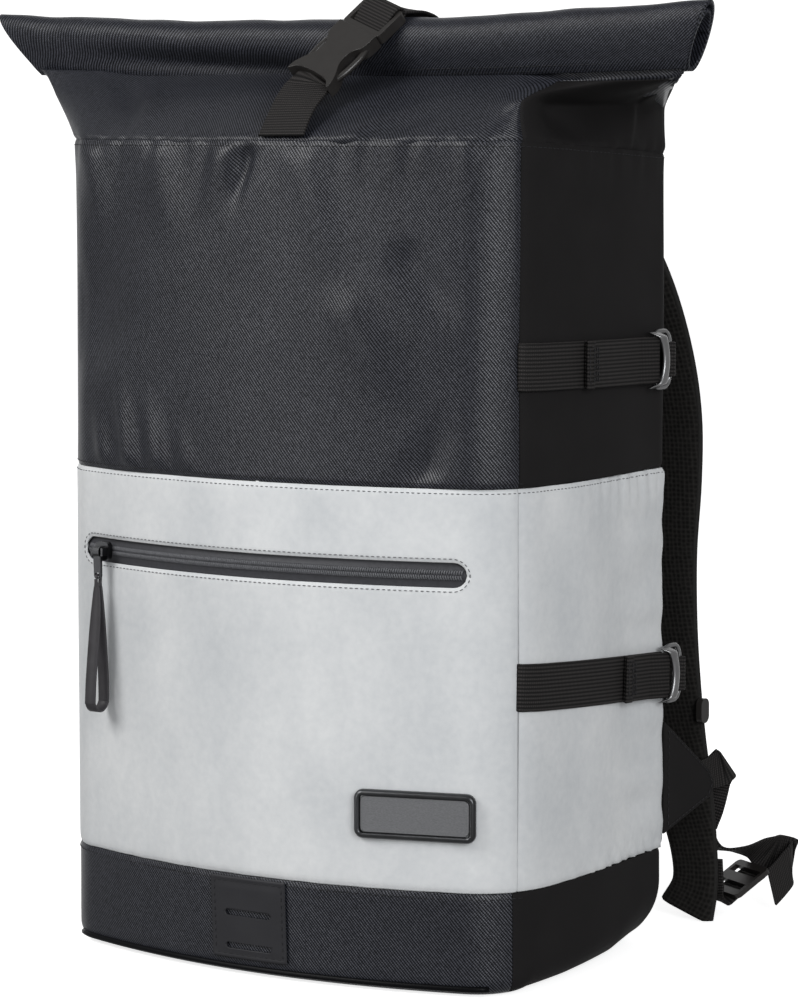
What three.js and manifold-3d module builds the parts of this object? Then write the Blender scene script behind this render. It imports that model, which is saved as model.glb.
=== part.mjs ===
// Roll-top laptop backpack standing on its base.
// Millimetres, +Z up. The front faces -Y, and the origin is the middle of the base, on the ground.
import * as THREE from 'three';
import { mergeVertices } from 'three/addons/utils/BufferGeometryUtils.js';
import Module from 'manifold-3d';

const wasm = await Module();
wasm.setup();

// Walls and clearances
const GAP = 0.3;
const CLOTH = 2;
const TRAY_WALL = 2.5;
const WEB = { width: 25, thick: 1.6 };

// Body: half sizes of the outline from above, its corners, and how far the filled bag swells
const HALF_WIDTH = 145;
const HALF_DEPTH = 83;
const FRONT_CORNER = 24;
const BACK_CORNER = 12;
const SIDE_SWELL = 4.4;
const SWELL_MIDDLE = -0.15 * HALF_DEPTH;
const SWELL_FRONT = 0.85 * HALF_DEPTH;
const SWELL_BACK = 1.15 * HALF_DEPTH;
const FRONT_BULGE = [
  { z: 0, bulge: 28 },
  { z: 60, bulge: 31 },
  { z: 220, bulge: 32 },
  { z: 340, bulge: 27 },
  { z: 443, bulge: 20 },
];
// Soft dents and rises of the front cloth, each a round bump that fades out over its reach
const FRONT_DENTS = [
  { x: -118, z: 395, reach: 34, depth: 2.5 },
  { x: -95, z: 325, reach: 40, depth: -2 },
  { x: 112, z: 318, reach: 32, depth: 2.5 },
  { x: 40, z: 330, reach: 45, depth: 1.5 },
];

// Heights of the seams between the cloth panels
const BAND_TOP = 54.5;
const SILVER_TOP = 265;
const SEAM_Z = 443;
const SEAM_FALL = 7;

// Roundings where the walls turn under the bag
const FRONT_EDGE = 9;
const SIDE_EDGE = [
  { y: -83, radius: 5 },
  { y: -60, radius: 16 },
  { y: -20, radius: 18 },
  { y: 30, radius: 24 },
  { y: 60, radius: 34 },
  { y: 83, radius: 40 },
];
const BACK_EDGE = SIDE_EDGE[SIDE_EDGE.length - 1].radius;

// Shares of the half outline, from the middle of the front round to the back
const FRONT_END = 0.4;
const CORNER_END = 0.52;
const SIDE_END = 0.94;
const SEAM_SHARE = 0.479;
const SHARE_GAP = 0.0008;

// Padded back
const BACK = { inner: 78, edge: 86, crown: 4, bottom: 6, sideGap: 1.1 };

// Collar and rolled mouth
const COLLAR_TOP = 483;
const MOUTH = { y: -30, halfThick: 2.6, backShare: 0.7, leftForward: 9 };
const EAR = { share: 0.33, reach: 0.97, rightFront: 0.66 };
const ROLL = {
  y: -30, z: 495, a: 16, b: 18.5, layer: 2.4, endThin: 0.42,
  startDeg: 225, turnDeg: 570, shrink: 0.36, square: 0.82,
};
const ROLL_BOTTOM = { z: 480, left: 196, right: 216 };
const ROLL_TOP = { z: 512, left: 224, right: 231 };
const COLLAR_FLARE = {
  panel: 1.25, leftEar: 0.95, lipStart: 0.5, lipRun: 0.36, wallStart: 0.27, wallRun: 0.09,
};
const GUSSET = { share: 0.44, reach: 0.085, depth: 14 };
const MOUTH_SAG = 7;
const ROLL_DENT = { x: -70, z: 488, reachX: 75, reachZ: 11, depth: 5 };

// Zip in the silver front
const ZIP = {
  z: 220.5, halfLength: 122.5, radius: 6.5, tapeHalf: 123.5, tapeHeight: 11, tapeThick: 1.2, ridge: 1.2,
};
const SLIDER = {
  x: -104, width: 9, height: 10, thick: 3.6, sink: -0.8, cheek: 1.3, cheekGap: 5.4, barReach: 3.2, bar: 1.1,
};
const PULL = { width: 4.4, length: 15, thick: 1.8, hole: 1.7, eye: 1.6 };
const LEATHER = { wide: 7, narrow: 2, thick: 1.5, length: 74, spread: 6, neck: 9, lean: -2 };

// Bare badge on the silver front
const BADGE = {
  x: 97, z: 94.5, width: 66, height: 26, radius: 5, frame: 3.6, frameThick: 3, plateThick: 1.6,
};

// Patch with two slots on the base
const PATCH = {
  halfWidth: 24, top: 53.5, bottom: 9, thick: 1.4, slotHalf: 14.5, slotRadius: 1.7, slots: [34, 16],
};

// Closing strap: where it is sewn in, and where the buckle starts and ends
const STRAP_TOP = {
  footShare: 0.038,
  shareFall: 0.03,
  footRises: [0.02, 0.3, 0.4],
  buckleLow: { x: 16, y: -73, z: 471 },
  buckleHigh: { x: 41, y: -38, z: 510 },
};
const BUCKLE = { thick: 8, femaleLength: 38, halfWidths: [
  { along: 0, half: 16 },
  { along: 7, half: 15.5 },
  { along: 14, half: 11 },
  { along: 19, half: 9.5 },
  { along: 25, half: 11 },
  { along: 29, half: 14.5 },
  { along: 38, half: 14.5 },
], maleHalf: 14.5, slotHalf: 11.5, slot: 5 };

// Side straps: height of the lower edge at the front seam, fall per millimetre, places along the side
const SIDE_STRAPS = [
  { name: 'upper', z: 315, fall: 0.02, bar: 53, hem: -23, sewn: { x: 144, y: 82.5 } },
  { name: 'lower', z: 150, fall: 0.07, bar: 68, hem: 22, sewn: { x: 143.5, y: 94 } },
];
const HOOK = { length: 18, height: 33, bar: 2.6, radius: 7, hole: 2, off: 3.9, turn: 2.8 };
const CRESCENT = { height: 33, width: 4.4, thick: 2.4, proud: 4.1, start: 1, bow: 8, foot: 2.6 };
const LEFT_START = CORNER_END;

// Shoulder strap: its middle line and width from top to bottom, on the right
const SHOULDER = [
  { x: 64, y: 95, z: 436, width: 70 },
  { x: 74, y: 96, z: 412, width: 70 },
  { x: 86, y: 103, z: 388, width: 69 },
  { x: 97, y: 115, z: 356, width: 66 },
  { x: 102, y: 127, z: 322, width: 64 },
  { x: 104, y: 135, z: 288, width: 62 },
  { x: 104, y: 138, z: 252, width: 59 },
  { x: 104, y: 137, z: 212, width: 55 },
  { x: 107, y: 137, z: 172, width: 50 },
  { x: 111, y: 139, z: 136, width: 45 },
  { x: 115, y: 142, z: 104, width: 41 },
  { x: 121, y: 146, z: 70, width: 35 },
  { x: 126, y: 148, z: 40, width: 28 },
  { x: 127, y: 148, z: 20, width: 27 },
  { x: 122, y: 148, z: 4, width: 33 },
];
const SHOULDER_THICK = 9;

// Triangle behind the back seam, as (y, z) corners
const WING = { x: 141, thick: 3, corners: [[80.6, 124], [80.6, 61], [134, 74], [139, 81], [134, 89]] };

// Adjusting webbing from the triangle to the strap's end, with its loose tail, on the right
const LOWER_WIDTH = 19;
const LOWER_WEBBING = [
  { x: 139.7, y: 112, z: 83, wx: 0, wy: 0, wz: 1 },
  { x: 139.7, y: 140, z: 86, wx: 0, wy: 0, wz: 1 },
  { x: 143, y: 154.5, z: 89, wx: 0, wy: -0.73, wz: 0.68, fold: true },
  { x: 141.5, y: 155.1, z: 89.6, wx: 0, wy: -0.73, wz: 0.68, fold: true },
  { x: 140, y: 154.5, z: 89, wx: 0, wy: -0.73, wz: 0.68, fold: true },
  { x: 132.5, y: 160, z: 77, wx: -0.7, wy: -0.65, wz: 0.1 },
  { x: 127, y: 162, z: 62, wx: -0.93, wy: -0.3, wz: 0 },
  { x: 122, y: 164, z: 48, wx: -0.95, wy: -0.2, wz: 0 },
  { x: 130, y: 168.5, z: 38, wx: -0.87, wy: 0.5, wz: -0.1 },
  { x: 140, y: 177, z: 36.5, wx: -0.8, wy: 0.5, wz: -0.3 },
  { x: 147, y: 188, z: 36, wx: -0.6, wy: 0.3, wz: -0.7 },
  { x: 150, y: 200, z: 31, wx: -0.1, wy: 0.03, wz: -0.98 },
  { x: 154, y: 209, z: 28, wx: 0, wy: 0, wz: -1 },
  { x: 157.5, y: 204, z: 26.5, wx: 0, wy: 0, wz: -1 },
  { x: 157.5, y: 195, z: 20, wx: 0, wy: 0.25, wz: -0.97 },
  { x: 157, y: 186, z: 13.5, wx: 0, wy: 0.3, wz: -0.95 },
];
const STRAP_TAB = [
  { x: 129, y: 154, z: 34, wx: 1, wy: 0, wz: 0 },
  { x: 130, y: 154.4, z: 17, wx: 1, wy: 0, wz: 0 },
  { x: 131.5, y: 157.5, z: 12, wx: 0.97, wy: -0.2, wz: 0 },
  { x: 133.5, y: 162, z: 10, wx: 0.93, wy: -0.35, wz: 0 },
  { x: 136.6, y: 170, z: 11.2, wx: 0.87, wy: -0.5, wz: 0 },
];
const LOCK = {
  x: 142, y: 172.5, z: 20.2, width: 32, length: 26, thick: 3, slot: 5,
  turnDeg: -30, tiltDeg: 32,
};
const SLIDER_CLIP = { z: 122, length: 14, out: 3.5, thick: 9, back: 3 };

// Colours and finishes
const BLACK_TWILL = { color: 0x23252b, roughness: 0.7, metalness: 0 };
const BLACK_CLOTH = { color: 0x1d1d1f, roughness: 0.85, metalness: 0 };
const SILVER_CLOTH = { color: 0xc3c5c6, roughness: 0.55, metalness: 0.1 };
const WEBBING_BLACK = { color: 0x1c1b1c, roughness: 0.9, metalness: 0 };
const COATED_BLACK = { color: 0x323236, roughness: 0.55, metalness: 0 };
const PADDED_MESH = { color: 0x17171a, roughness: 0.95, metalness: 0 };
const GREY_METAL = { color: 0x9a9a9c, roughness: 0.35, metalness: 1 };
const GUNMETAL = { color: 0x38393b, roughness: 0.35, metalness: 0.9 };
const BRUSHED_PLATE = { color: 0x55575a, roughness: 0.4, metalness: 0.8 };
const SATIN_PLASTIC = { color: 0x3a3735, roughness: 0.4, metalness: 0.1 };
const ZIP_GREY = { color: 0x2b2c2e, roughness: 0.7, metalness: 0 };
const LEATHER_GREY = { color: 0x48464b, roughness: 0.6, metalness: 0 };

// Small helpers
const QUARTER = Math.PI / 2;
const bag = new THREE.Group();

function clamp01(value) {
  return Math.min(1, Math.max(0, value));
}

function smooth(value) {
  const t = clamp01(value);
  return t * t * (3 - 2 * t);
}

function lerp(a, b, t) {
  return a + (b - a) * t;
}

// Value of one column of a table at a place along another column, on straight stretches
function tableAt(table, column, place, along) {
  for (let i = 1; i < table.length; i += 1) {
    const low = table[i - 1];
    const high = table[i];
    if (place <= high[along]) {
      return lerp(low[column], high[column], clamp01((place - low[along]) / (high[along] - low[along])));
    }
  }
  return table[table.length - 1][column];
}

// Even steps through each stretch between the given breaks
function steps(breaks, counts) {
  const list = [breaks[0]];
  counts.forEach((count, k) => {
    for (let i = 1; i <= count; i += 1) {
      list.push(lerp(breaks[k], breaks[k + 1], i / count));
    }
  });
  return list;
}

// Closed geometry from corners and triangles: shared corners merged, flat triangles dropped, faces outward
function closedGeometry(positions, triangles) {
  const raw = new THREE.BufferGeometry();
  raw.setAttribute('position', new THREE.Float32BufferAttribute(positions, 3));
  raw.setIndex(triangles);
  const joined = mergeVertices(raw, 1e-3);
  const place = joined.getAttribute('position');
  const kept = [];
  const corner = [new THREE.Vector3(), new THREE.Vector3(), new THREE.Vector3()];
  let volume = 0;
  for (let i = 0; i < joined.index.count; i += 3) {
    const t = [joined.index.getX(i), joined.index.getX(i + 1), joined.index.getX(i + 2)];
    if (t[0] !== t[1] && t[1] !== t[2] && t[2] !== t[0]) {
      kept.push(...t);
      t.forEach((k, n) => corner[n].fromBufferAttribute(place, k));
      volume += corner[0].dot(corner[1].clone().cross(corner[2]));
    }
  }
  if (volume < 0) {
    kept.reverse();
  }
  joined.setIndex(kept);
  return joined;
}

// Geometry classes of three.js made into the same merged form
function merged(geometry) {
  const bare = geometry.clone();
  bare.deleteAttribute('normal');
  bare.deleteAttribute('uv');
  const joined = mergeVertices(bare, 1e-3);
  return closedGeometry(Array.from(joined.getAttribute('position').array), Array.from(joined.index.array));
}

// Sheet with an outer and an inner skin over a grid, closed along its edges; a ring joins its two sides
function sheet(outer, inner, us, vs, ring = false) {
  const positions = [];
  const triangles = [];
  for (const skin of [outer, inner]) {
    for (const v of vs) {
      for (const u of us) {
        positions.push(...skin(u, v).toArray());
      }
    }
  }
  const nu = us.length;
  const nv = vs.length;
  const at = (skin, i, j) => (skin * nv + j) * nu + (i % nu);
  const quad = (a, b, c, d) => triangles.push(a, b, c, a, c, d);
  const columns = ring ? nu : nu - 1;
  for (let i = 0; i < columns; i += 1) {
    for (let j = 0; j < nv - 1; j += 1) {
      quad(at(0, i, j), at(0, i + 1, j), at(0, i + 1, j + 1), at(0, i, j + 1));
      quad(at(1, i, j), at(1, i, j + 1), at(1, i + 1, j + 1), at(1, i + 1, j));
    }
    quad(at(0, i + 1, 0), at(0, i, 0), at(1, i, 0), at(1, i + 1, 0));
    quad(at(0, i, nv - 1), at(0, i + 1, nv - 1), at(1, i + 1, nv - 1), at(1, i, nv - 1));
  }
  for (let j = 0; j < nv - 1 && !ring; j += 1) {
    quad(at(0, 0, j), at(0, 0, j + 1), at(1, 0, j + 1), at(1, 0, j));
    quad(at(0, nu - 1, j + 1), at(0, nu - 1, j), at(1, nu - 1, j), at(1, nu - 1, j + 1));
  }
  return closedGeometry(positions, triangles);
}

// Solid through a row of closed rings of equal count, with flat ends; facing walls are split alike
function loft(rings) {
  const count = rings[0].length;
  const positions = rings.flat().flatMap((p) => p.toArray());
  const triangles = [];
  for (let k = 0; k < rings.length - 1; k += 1) {
    for (let i = 0; i < count; i += 1) {
      const a = k * count + i;
      const b = k * count + (i + 1) % count;
      if (i < count / 2) {
        triangles.push(a, b, b + count, a, b + count, a + count);
      } else {
        triangles.push(a, b, a + count, b, b + count, a + count);
      }
    }
  }
  const last = (rings.length - 1) * count;
  for (let i = 1; i < count - 1; i += 1) {
    triangles.push(0, i + 1, i);
    triangles.push(last, last + i, last + i + 1);
  }
  return closedGeometry(positions, triangles);
}

// Strip of rectangular or padded section through stations, each with its own direction of width,
// which stands square to the run except where the strip is folded along a slanting line
function strip(stations, widthOf, thick, edge) {
  const rings = stations.map((row, k) => {
    const before = stations[Math.max(0, k - 1)];
    const after = stations[Math.min(stations.length - 1, k + 1)];
    const along = new THREE.Vector3(after.x - before.x, after.y - before.y, after.z - before.z).normalize();
    const across = new THREE.Vector3(row.wx, row.wy, row.wz);
    if (!row.fold) across.addScaledVector(along, -across.dot(along));
    across.normalize();
    const out = along.clone().cross(across).normalize();
    const half = widthOf(row) / 2;
    const h = thick / 2;
    const section = [[-half, -h * edge], [-half + h, -h], [half - h, -h], [half, -h * edge],
      [half, h * edge], [half - h, h], [-half + h, h], [-half, h * edge]];
    return section.map(([a, b]) => new THREE.Vector3(row.x, row.y, row.z)
      .addScaledVector(across, a).addScaledVector(out, b));
  });
  return loft(rings);
}

// Boolean joins and cuts
function toSolid(geometry) {
  const vertProperties = new Float32Array(geometry.getAttribute('position').array);
  const triVerts = new Uint32Array(geometry.index.array);
  return new wasm.Manifold(new wasm.Mesh({ numProp: 3, vertProperties, triVerts }));
}

function fromSolid(solid) {
  const mesh = solid.getMesh();
  return closedGeometry(Array.from(mesh.vertProperties), Array.from(mesh.triVerts));
}

function cut(geometry, tools) {
  return fromSolid(tools.reduce((solid, tool) => solid.subtract(toSolid(tool)), toSolid(geometry)));
}

function join(geometries) {
  const first = toSolid(geometries[0]);
  return fromSolid(geometries.slice(1).reduce((solid, part) => solid.add(toSolid(part)), first));
}

function mirrored(geometry) {
  const copy = geometry.clone().scale(-1, 1, 1);
  return closedGeometry(Array.from(copy.getAttribute('position').array), Array.from(copy.index.array));
}

function addMesh(name, geometry, finish, parent = bag) {
  const mesh = new THREE.Mesh(geometry, new THREE.MeshStandardMaterial(finish));
  mesh.name = name;
  parent.add(mesh);
  return mesh;
}

// The same piece on the right and, mirrored, on the left
function addPair(name, geometry, finish) {
  addMesh(`${name}_right`, geometry, finish);
  addMesh(`${name}_left`, mirrored(geometry), finish);
}

// Flat outlines
function stadium(halfLength, radius) {
  const shape = new THREE.Shape();
  shape.absarc(halfLength - radius, 0, radius, -QUARTER, QUARTER, false);
  shape.absarc(radius - halfLength, 0, radius, QUARTER, 3 * QUARTER, false);
  shape.closePath();
  return shape;
}

function roundedRectangle(width, height, radius, path = new THREE.Shape()) {
  const x = width / 2 - radius;
  const y = height / 2 - radius;
  path.absarc(x, -y, radius, -QUARTER, 0, false);
  path.absarc(x, y, radius, 0, QUARTER, false);
  path.absarc(-x, y, radius, QUARTER, 2 * QUARTER, false);
  path.absarc(-x, -y, radius, 2 * QUARTER, 3 * QUARTER, false);
  path.closePath();
  return path;
}

// Plate from an outline drawn in x and z, standing out towards the front
function frontPlate(shape, depth, curveSegments = 4) {
  const plate = new THREE.ExtrudeGeometry(shape, { depth, bevelEnabled: false, curveSegments });
  const x = new THREE.Vector3(1, 0, 0);
  const z = new THREE.Vector3(0, 0, 1);
  const front = new THREE.Vector3(0, -1, 0);
  return merged(plate.applyMatrix4(new THREE.Matrix4().makeBasis(x, z, front)));
}

// Body surface
function edgeDrop(height, radius) {
  const below = clamp01((radius - height) / radius);
  return radius * (1 - Math.sqrt(1 - below * below));
}

function halfOutline(share, inset) {
  const cornerX = HALF_WIDTH - FRONT_CORNER;
  const cornerY = HALF_DEPTH - FRONT_CORNER;
  const backX = HALF_WIDTH - BACK_CORNER;
  const backY = HALF_DEPTH - BACK_CORNER;
  if (share <= FRONT_END) {
    return { x: cornerX * share / FRONT_END, y: inset - HALF_DEPTH };
  }
  if (share <= CORNER_END) {
    const turn = QUARTER * (share - FRONT_END) / (CORNER_END - FRONT_END);
    const r = FRONT_CORNER - inset;
    return { x: cornerX + r * Math.sin(turn), y: -cornerY - r * Math.cos(turn) };
  }
  if (share <= SIDE_END) {
    const along = (share - CORNER_END) / (SIDE_END - CORNER_END);
    return { x: HALF_WIDTH - inset, y: lerp(-cornerY, backY, along) };
  }
  const turn = QUARTER * (share - SIDE_END) / (1 - SIDE_END);
  const r = BACK_CORNER - inset;
  return { x: backX + r * Math.cos(turn), y: backY + r * Math.sin(turn) };
}

function frontSwell(x, z) {
  const across = Math.max(0, 1 - (x / HALF_WIDTH) ** 2);
  const bulge = tableAt(FRONT_BULGE, 'bulge', z, 'z') * across;
  return FRONT_DENTS.reduce((sum, dent) => {
    const far = ((x - dent.x) ** 2 + (z - dent.z) ** 2) / (dent.reach * dent.reach);
    return sum - dent.depth * across * Math.exp(-far);
  }, bulge);
}

function sideSwell(y) {
  const ahead = y < SWELL_MIDDLE;
  const away = (y - SWELL_MIDDLE) / (ahead ? SWELL_FRONT : SWELL_BACK);
  const left = Math.max(0, 1 - away * away);
  return SIDE_SWELL * (ahead ? left : left * left);
}

// Point of the shell at a signed share of the outline and a height, moved inward by the inset
function bodyPoint(share, z, inset = 0) {
  const side = share < 0 ? -1 : 1;
  const p = halfOutline(Math.abs(share), inset);
  const onFront = Math.abs(share) < CORNER_END;
  const y = onFront ? p.y - frontSwell(side * p.x, z) : p.y;
  const x = Math.abs(share) > FRONT_END ? p.x + sideSwell(p.y) : p.x;
  const edge = tableAt(SIDE_EDGE, 'radius', p.y, 'y');
  const narrow = 1 - edgeDrop(z - inset, edge - inset) / HALF_WIDTH;
  const shallow = p.y < 0 ? 1 - edgeDrop(z - inset, FRONT_EDGE - inset) / (HALF_DEPTH + 28) : 1;
  return new THREE.Vector3(side * x * narrow, y * shallow, z);
}

function sideShare(y) {
  const cornerY = HALF_DEPTH - FRONT_CORNER;
  const backY = HALF_DEPTH - BACK_CORNER;
  return CORNER_END + (SIDE_END - CORNER_END) * (y + cornerY) / (backY + cornerY);
}

function frontPoint(x, z, inset = 0) {
  const cornerX = HALF_WIDTH - FRONT_CORNER;
  const past = Math.max(0, Math.abs(x) - cornerX) / FRONT_CORNER;
  const turned = (CORNER_END - FRONT_END) * Math.asin(past) / QUARTER;
  const share = FRONT_END * Math.min(1, Math.abs(x) / cornerX) + turned;
  return bodyPoint(Math.sign(x) * share, z, inset);
}

// Height of the seam under the collar: level along the front, falling along the sides
function seamHeight(share) {
  const along = (Math.abs(share) - SEAM_SHARE) / (SIDE_END - SEAM_SHARE);
  return SEAM_Z - SEAM_FALL * clamp01(along);
}

// Cloth panels
function panel(shares, heights) {
  const outer = (share, z) => bodyPoint(share, z, 0);
  const inner = (share, z) => bodyPoint(share, z, CLOTH);
  return sheet(outer, inner, shares, heights);
}

// Upper side panel, cut off along the falling seam
function upperSide(shares) {
  const low = SILVER_TOP + GAP / 2;
  const height = (share, rise) => lerp(low, seamHeight(share) - GAP / 2, rise);
  const skin = (inset) => (share, rise) => bodyPoint(share, height(share, rise), inset);
  return sheet(skin(0), skin(CLOTH), shares, [0, 1]);
}

const frontShares = steps(
  [-SEAM_SHARE + SHARE_GAP, -FRONT_END, FRONT_END, SEAM_SHARE - SHARE_GAP],
  [3, 14, 3],
);
const sideShares = steps([SEAM_SHARE + SHARE_GAP, CORNER_END, SIDE_END, 1], [2, 6, 3]);
const lowerHeights = steps([BAND_TOP + GAP / 2, 220, SILVER_TOP - GAP / 2], [3, 1]);
const upperHeights = steps([SILVER_TOP + GAP / 2, SEAM_Z - GAP / 2], [4]);

function zipSlot() {
  return frontPlate(stadium(ZIP.halfLength, ZIP.radius), 2 * HALF_DEPTH).translate(0, 0, ZIP.z);
}

addMesh('front_lower', cut(panel(frontShares, lowerHeights), [zipSlot()]), SILVER_CLOTH);
addMesh('front_upper', panel(frontShares, upperHeights), BLACK_TWILL);
addPair('side_lower', panel(sideShares, lowerHeights), SILVER_CLOTH);
addPair('side_upper', upperSide(sideShares), BLACK_CLOTH);

// Base: front, sides and bottom in one tray, open at the back
function trayGeometry() {
  const shares = steps(
    [-1, -SIDE_END, -CORNER_END, -FRONT_END, FRONT_END, CORNER_END, SIDE_END, 1],
    [2, 4, 4, 10, 4, 4, 2],
  );
  const top = BAND_TOP - GAP / 2;
  const wallRows = [top, 40, 28, 17, 8, 3, 0];
  const rows = wallRows.map((z) => ({ z, spread: 1 })).concat([0.6, 0].map((spread) => ({ z: 0, spread })));
  const skin = (inset) => (share, row) => {
    const z = inset + row.z * (top - inset) / top;
    const p = bodyPoint(share, z, inset);
    return new THREE.Vector3(p.x * row.spread, lerp(HALF_DEPTH - inset, p.y, row.spread), p.z);
  };
  return sheet(skin(0), skin(TRAY_WALL), shares, rows);
}
addMesh('base_tray', trayGeometry(), BLACK_TWILL);

// Patch on the base with its two slots
function patchGeometry() {
  const xs = steps([-PATCH.halfWidth, PATCH.halfWidth], [3]);
  const zs = steps([PATCH.top, 30, PATCH.bottom], [1, 3]);
  const outer = (x, z) => frontPoint(x, z, -GAP - PATCH.thick);
  const inner = (x, z) => frontPoint(x, z, -GAP);
  const slots = PATCH.slots.map((z) => frontPlate(stadium(PATCH.slotHalf, PATCH.slotRadius), 2 * HALF_DEPTH)
    .translate(0, 0, z));
  return cut(sheet(outer, inner, xs, zs), slots);
}
addMesh('base_patch', patchGeometry(), COATED_BLACK);

// Padded back between the side panels
function backGeometry() {
  const shares = steps([-1, -0.85, 0.85, 1], [2, 4, 2]);
  const heights = steps([BACK.bottom, BACK_EDGE, SEAM_Z - SEAM_FALL - GAP / 2], [6, 3]);
  const halfWidth = (z) => bodyPoint(1, z, TRAY_WALL).x - BACK.sideGap;
  const outer = (share, z) => new THREE.Vector3(
    share * halfWidth(z), BACK.edge + BACK.crown * (1 - share ** 4), z);
  const inner = (share, z) => new THREE.Vector3(share * halfWidth(z), BACK.inner, z);
  return sheet(outer, inner, shares, heights);
}
addMesh('back_panel', backGeometry(), PADDED_MESH);

// Collar: from the seam outline to the flat mouth; the sides rise first, then flare into the ears
function mouthOutline(share, inset) {
  const s = Math.abs(share);
  const side = share < 0 ? -1 : 1;
  if (s <= MOUTH.backShare) {
    return bodyPoint(side * s / MOUTH.backShare, SEAM_Z, inset);
  }
  const backX = HALF_WIDTH - BACK_CORNER;
  return new THREE.Vector3(side * backX * (1 - s) / (1 - MOUTH.backShare), HALF_DEPTH - inset, SEAM_Z);
}

function sagging(p) {
  const lift = clamp01((p.z - SEAM_Z) / (ROLL_TOP.z - SEAM_Z));
  const across = Math.max(0, 1 - (p.x / ROLL_TOP.right) ** 2);
  return new THREE.Vector3(p.x, p.y, p.z - MOUTH_SAG * across * lift);
}

// How far the cloth has turned from seam to mouth: panels slope, side walls stand up and turn at a lip
function collarTurn(share, rise) {
  const s = Math.abs(share);
  const wall = smooth((s - COLLAR_FLARE.wallStart) / COLLAR_FLARE.wallRun) * smooth((0.9 - s) / 0.18);
  const leftEar = share < 0 ? smooth((0.56 - s) / 0.12) : 0;
  const upright = smooth((rise - COLLAR_FLARE.lipStart) / COLLAR_FLARE.lipRun);
  const flared = lerp(upright, rise ** COLLAR_FLARE.leftEar, leftEar);
  return lerp(rise ** COLLAR_FLARE.panel, flared, wall);
}

// The right side wall is tucked in under its lip
function gussetTuck(share, rise) {
  const away = (share - GUSSET.share) / GUSSET.reach;
  return GUSSET.depth * Math.exp(-away * away) * Math.sin(Math.PI * rise);
}

function collarSkin(share, rise, inset) {
  const s = Math.abs(share);
  const side = share < 0 ? -1 : 1;
  const foot = mouthOutline(share, inset);
  const out = s <= 0.5 ? s : 1 - s;
  const end = share < 0 ? 'left' : 'right';
  const reach = share > 0 && share <= 0.5 ? EAR.rightFront : EAR.reach;
  const past = clamp01((out - EAR.share) / (0.5 - EAR.share));
  const along = lerp(reach * Math.min(1, out / EAR.share), 1, past);
  const tipX = (ROLL_BOTTOM[end] - 2 - inset) * along;
  const slit = (s <= 0.5 ? -1 : 1) * (MOUTH.halfThick - 0.8 * inset);
  const forward = share < 0 ? MOUTH.leftForward * smooth((s - 0.2) / 0.1) * smooth((0.5 - s) / 0.08) : 0;
  const top = COLLAR_TOP - inset;
  const turn = collarTurn(share, rise);
  return sagging(new THREE.Vector3(
    lerp(foot.x, side * tipX, turn) - gussetTuck(share, rise),
    lerp(foot.y, MOUTH.y + slit - forward, turn),
    lerp(seamHeight(Math.min(1, s / MOUTH.backShare)) + GAP / 2, top, rise),
  ));
}

// Point on the collar, its inner skin set square to the cloth above the seam
function collarPoint(share, rise, inset) {
  const plain = collarSkin(share, rise, inset);
  if (inset === 0) return plain;
  const step = 0.004;
  const low = Math.max(0, rise - step);
  const high = Math.min(1, rise + step);
  const up = collarSkin(share, high, 0).sub(collarSkin(share, low, 0));
  const round = collarSkin(share + step, rise, 0).sub(collarSkin(share - step, rise, 0));
  const square = collarSkin(share, rise, 0).addScaledVector(up.cross(round).normalize(), inset);
  const freed = smooth(rise / 0.3) * smooth((1 - rise) / 0.15);
  return plain.lerp(square, freed);
}

function collarGeometry() {
  const shares = steps([-1, -0.7, -0.3, 0.3, 0.7, 1], [4, 12, 10, 12, 4]).slice(0, -1);
  const rises = [0, 0.3, 0.58, 0.85, 1];
  const skin = (inset) => (share, rise) => collarPoint(share, rise, inset);
  return sheet(skin(0), skin(CLOTH), shares, rises, true);
}

// Rolled mouth: a flattened spiral of the doubled cloth, longer at its top than at its hem
function rollOutline() {
  const turns = steps([0, 1], [20]);
  const squared = (v) => Math.sign(v) * Math.abs(v) ** ROLL.square;
  const place = (q, out) => {
    const angle = THREE.MathUtils.degToRad(ROLL.startDeg - ROLL.turnDeg * q);
    const k = 1 - ROLL.shrink * q;
    const y = ROLL.y + (ROLL.a * k + out) * squared(Math.cos(angle));
    const z = ROLL.z + (ROLL.b * k + out) * squared(Math.sin(angle));
    return new THREE.Vector2(y, z);
  };
  const outside = turns.map((q) => place(q, ROLL.layer / 2));
  const inside = turns.map((q) => place(q, -ROLL.layer / 2)).reverse();
  return new THREE.Shape(outside.concat(inside));
}

function rollGeometry() {
  const bar = new THREE.ExtrudeGeometry(rollOutline(), { depth: 2, steps: 10, bevelEnabled: false });
  const y = new THREE.Vector3(0, 1, 0);
  const z = new THREE.Vector3(0, 0, 1);
  const x = new THREE.Vector3(1, 0, 0);
  bar.applyMatrix4(new THREE.Matrix4().makeBasis(y, z, x)).translate(-1, 0, 0);
  const place = bar.getAttribute('position');
  for (let i = 0; i < place.count; i += 1) {
    const p = new THREE.Vector3().fromBufferAttribute(place, i);
    const up = (p.z - ROLL_BOTTOM.z) / (ROLL_TOP.z - ROLL_BOTTOM.z);
    const end = p.x < 0 ? 'left' : 'right';
    p.y = ROLL.y + (p.y - ROLL.y) * (1 - ROLL.endThin * Math.abs(p.x) ** 3);
    p.x *= lerp(ROLL_BOTTOM[end], ROLL_TOP[end], up);
    const far = ((p.x - ROLL_DENT.x) / ROLL_DENT.reachX) ** 2 + ((p.z - ROLL_DENT.z) / ROLL_DENT.reachZ) ** 2;
    const front = clamp01((ROLL.y - p.y) / ROLL.a);
    p.y += ROLL_DENT.depth * front * Math.exp(-far);
    place.setXYZ(i, ...sagging(p).toArray());
  }
  return merged(bar);
}
addMesh('roll_top', join([collarGeometry(), rollGeometry()]), BLACK_TWILL);

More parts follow.
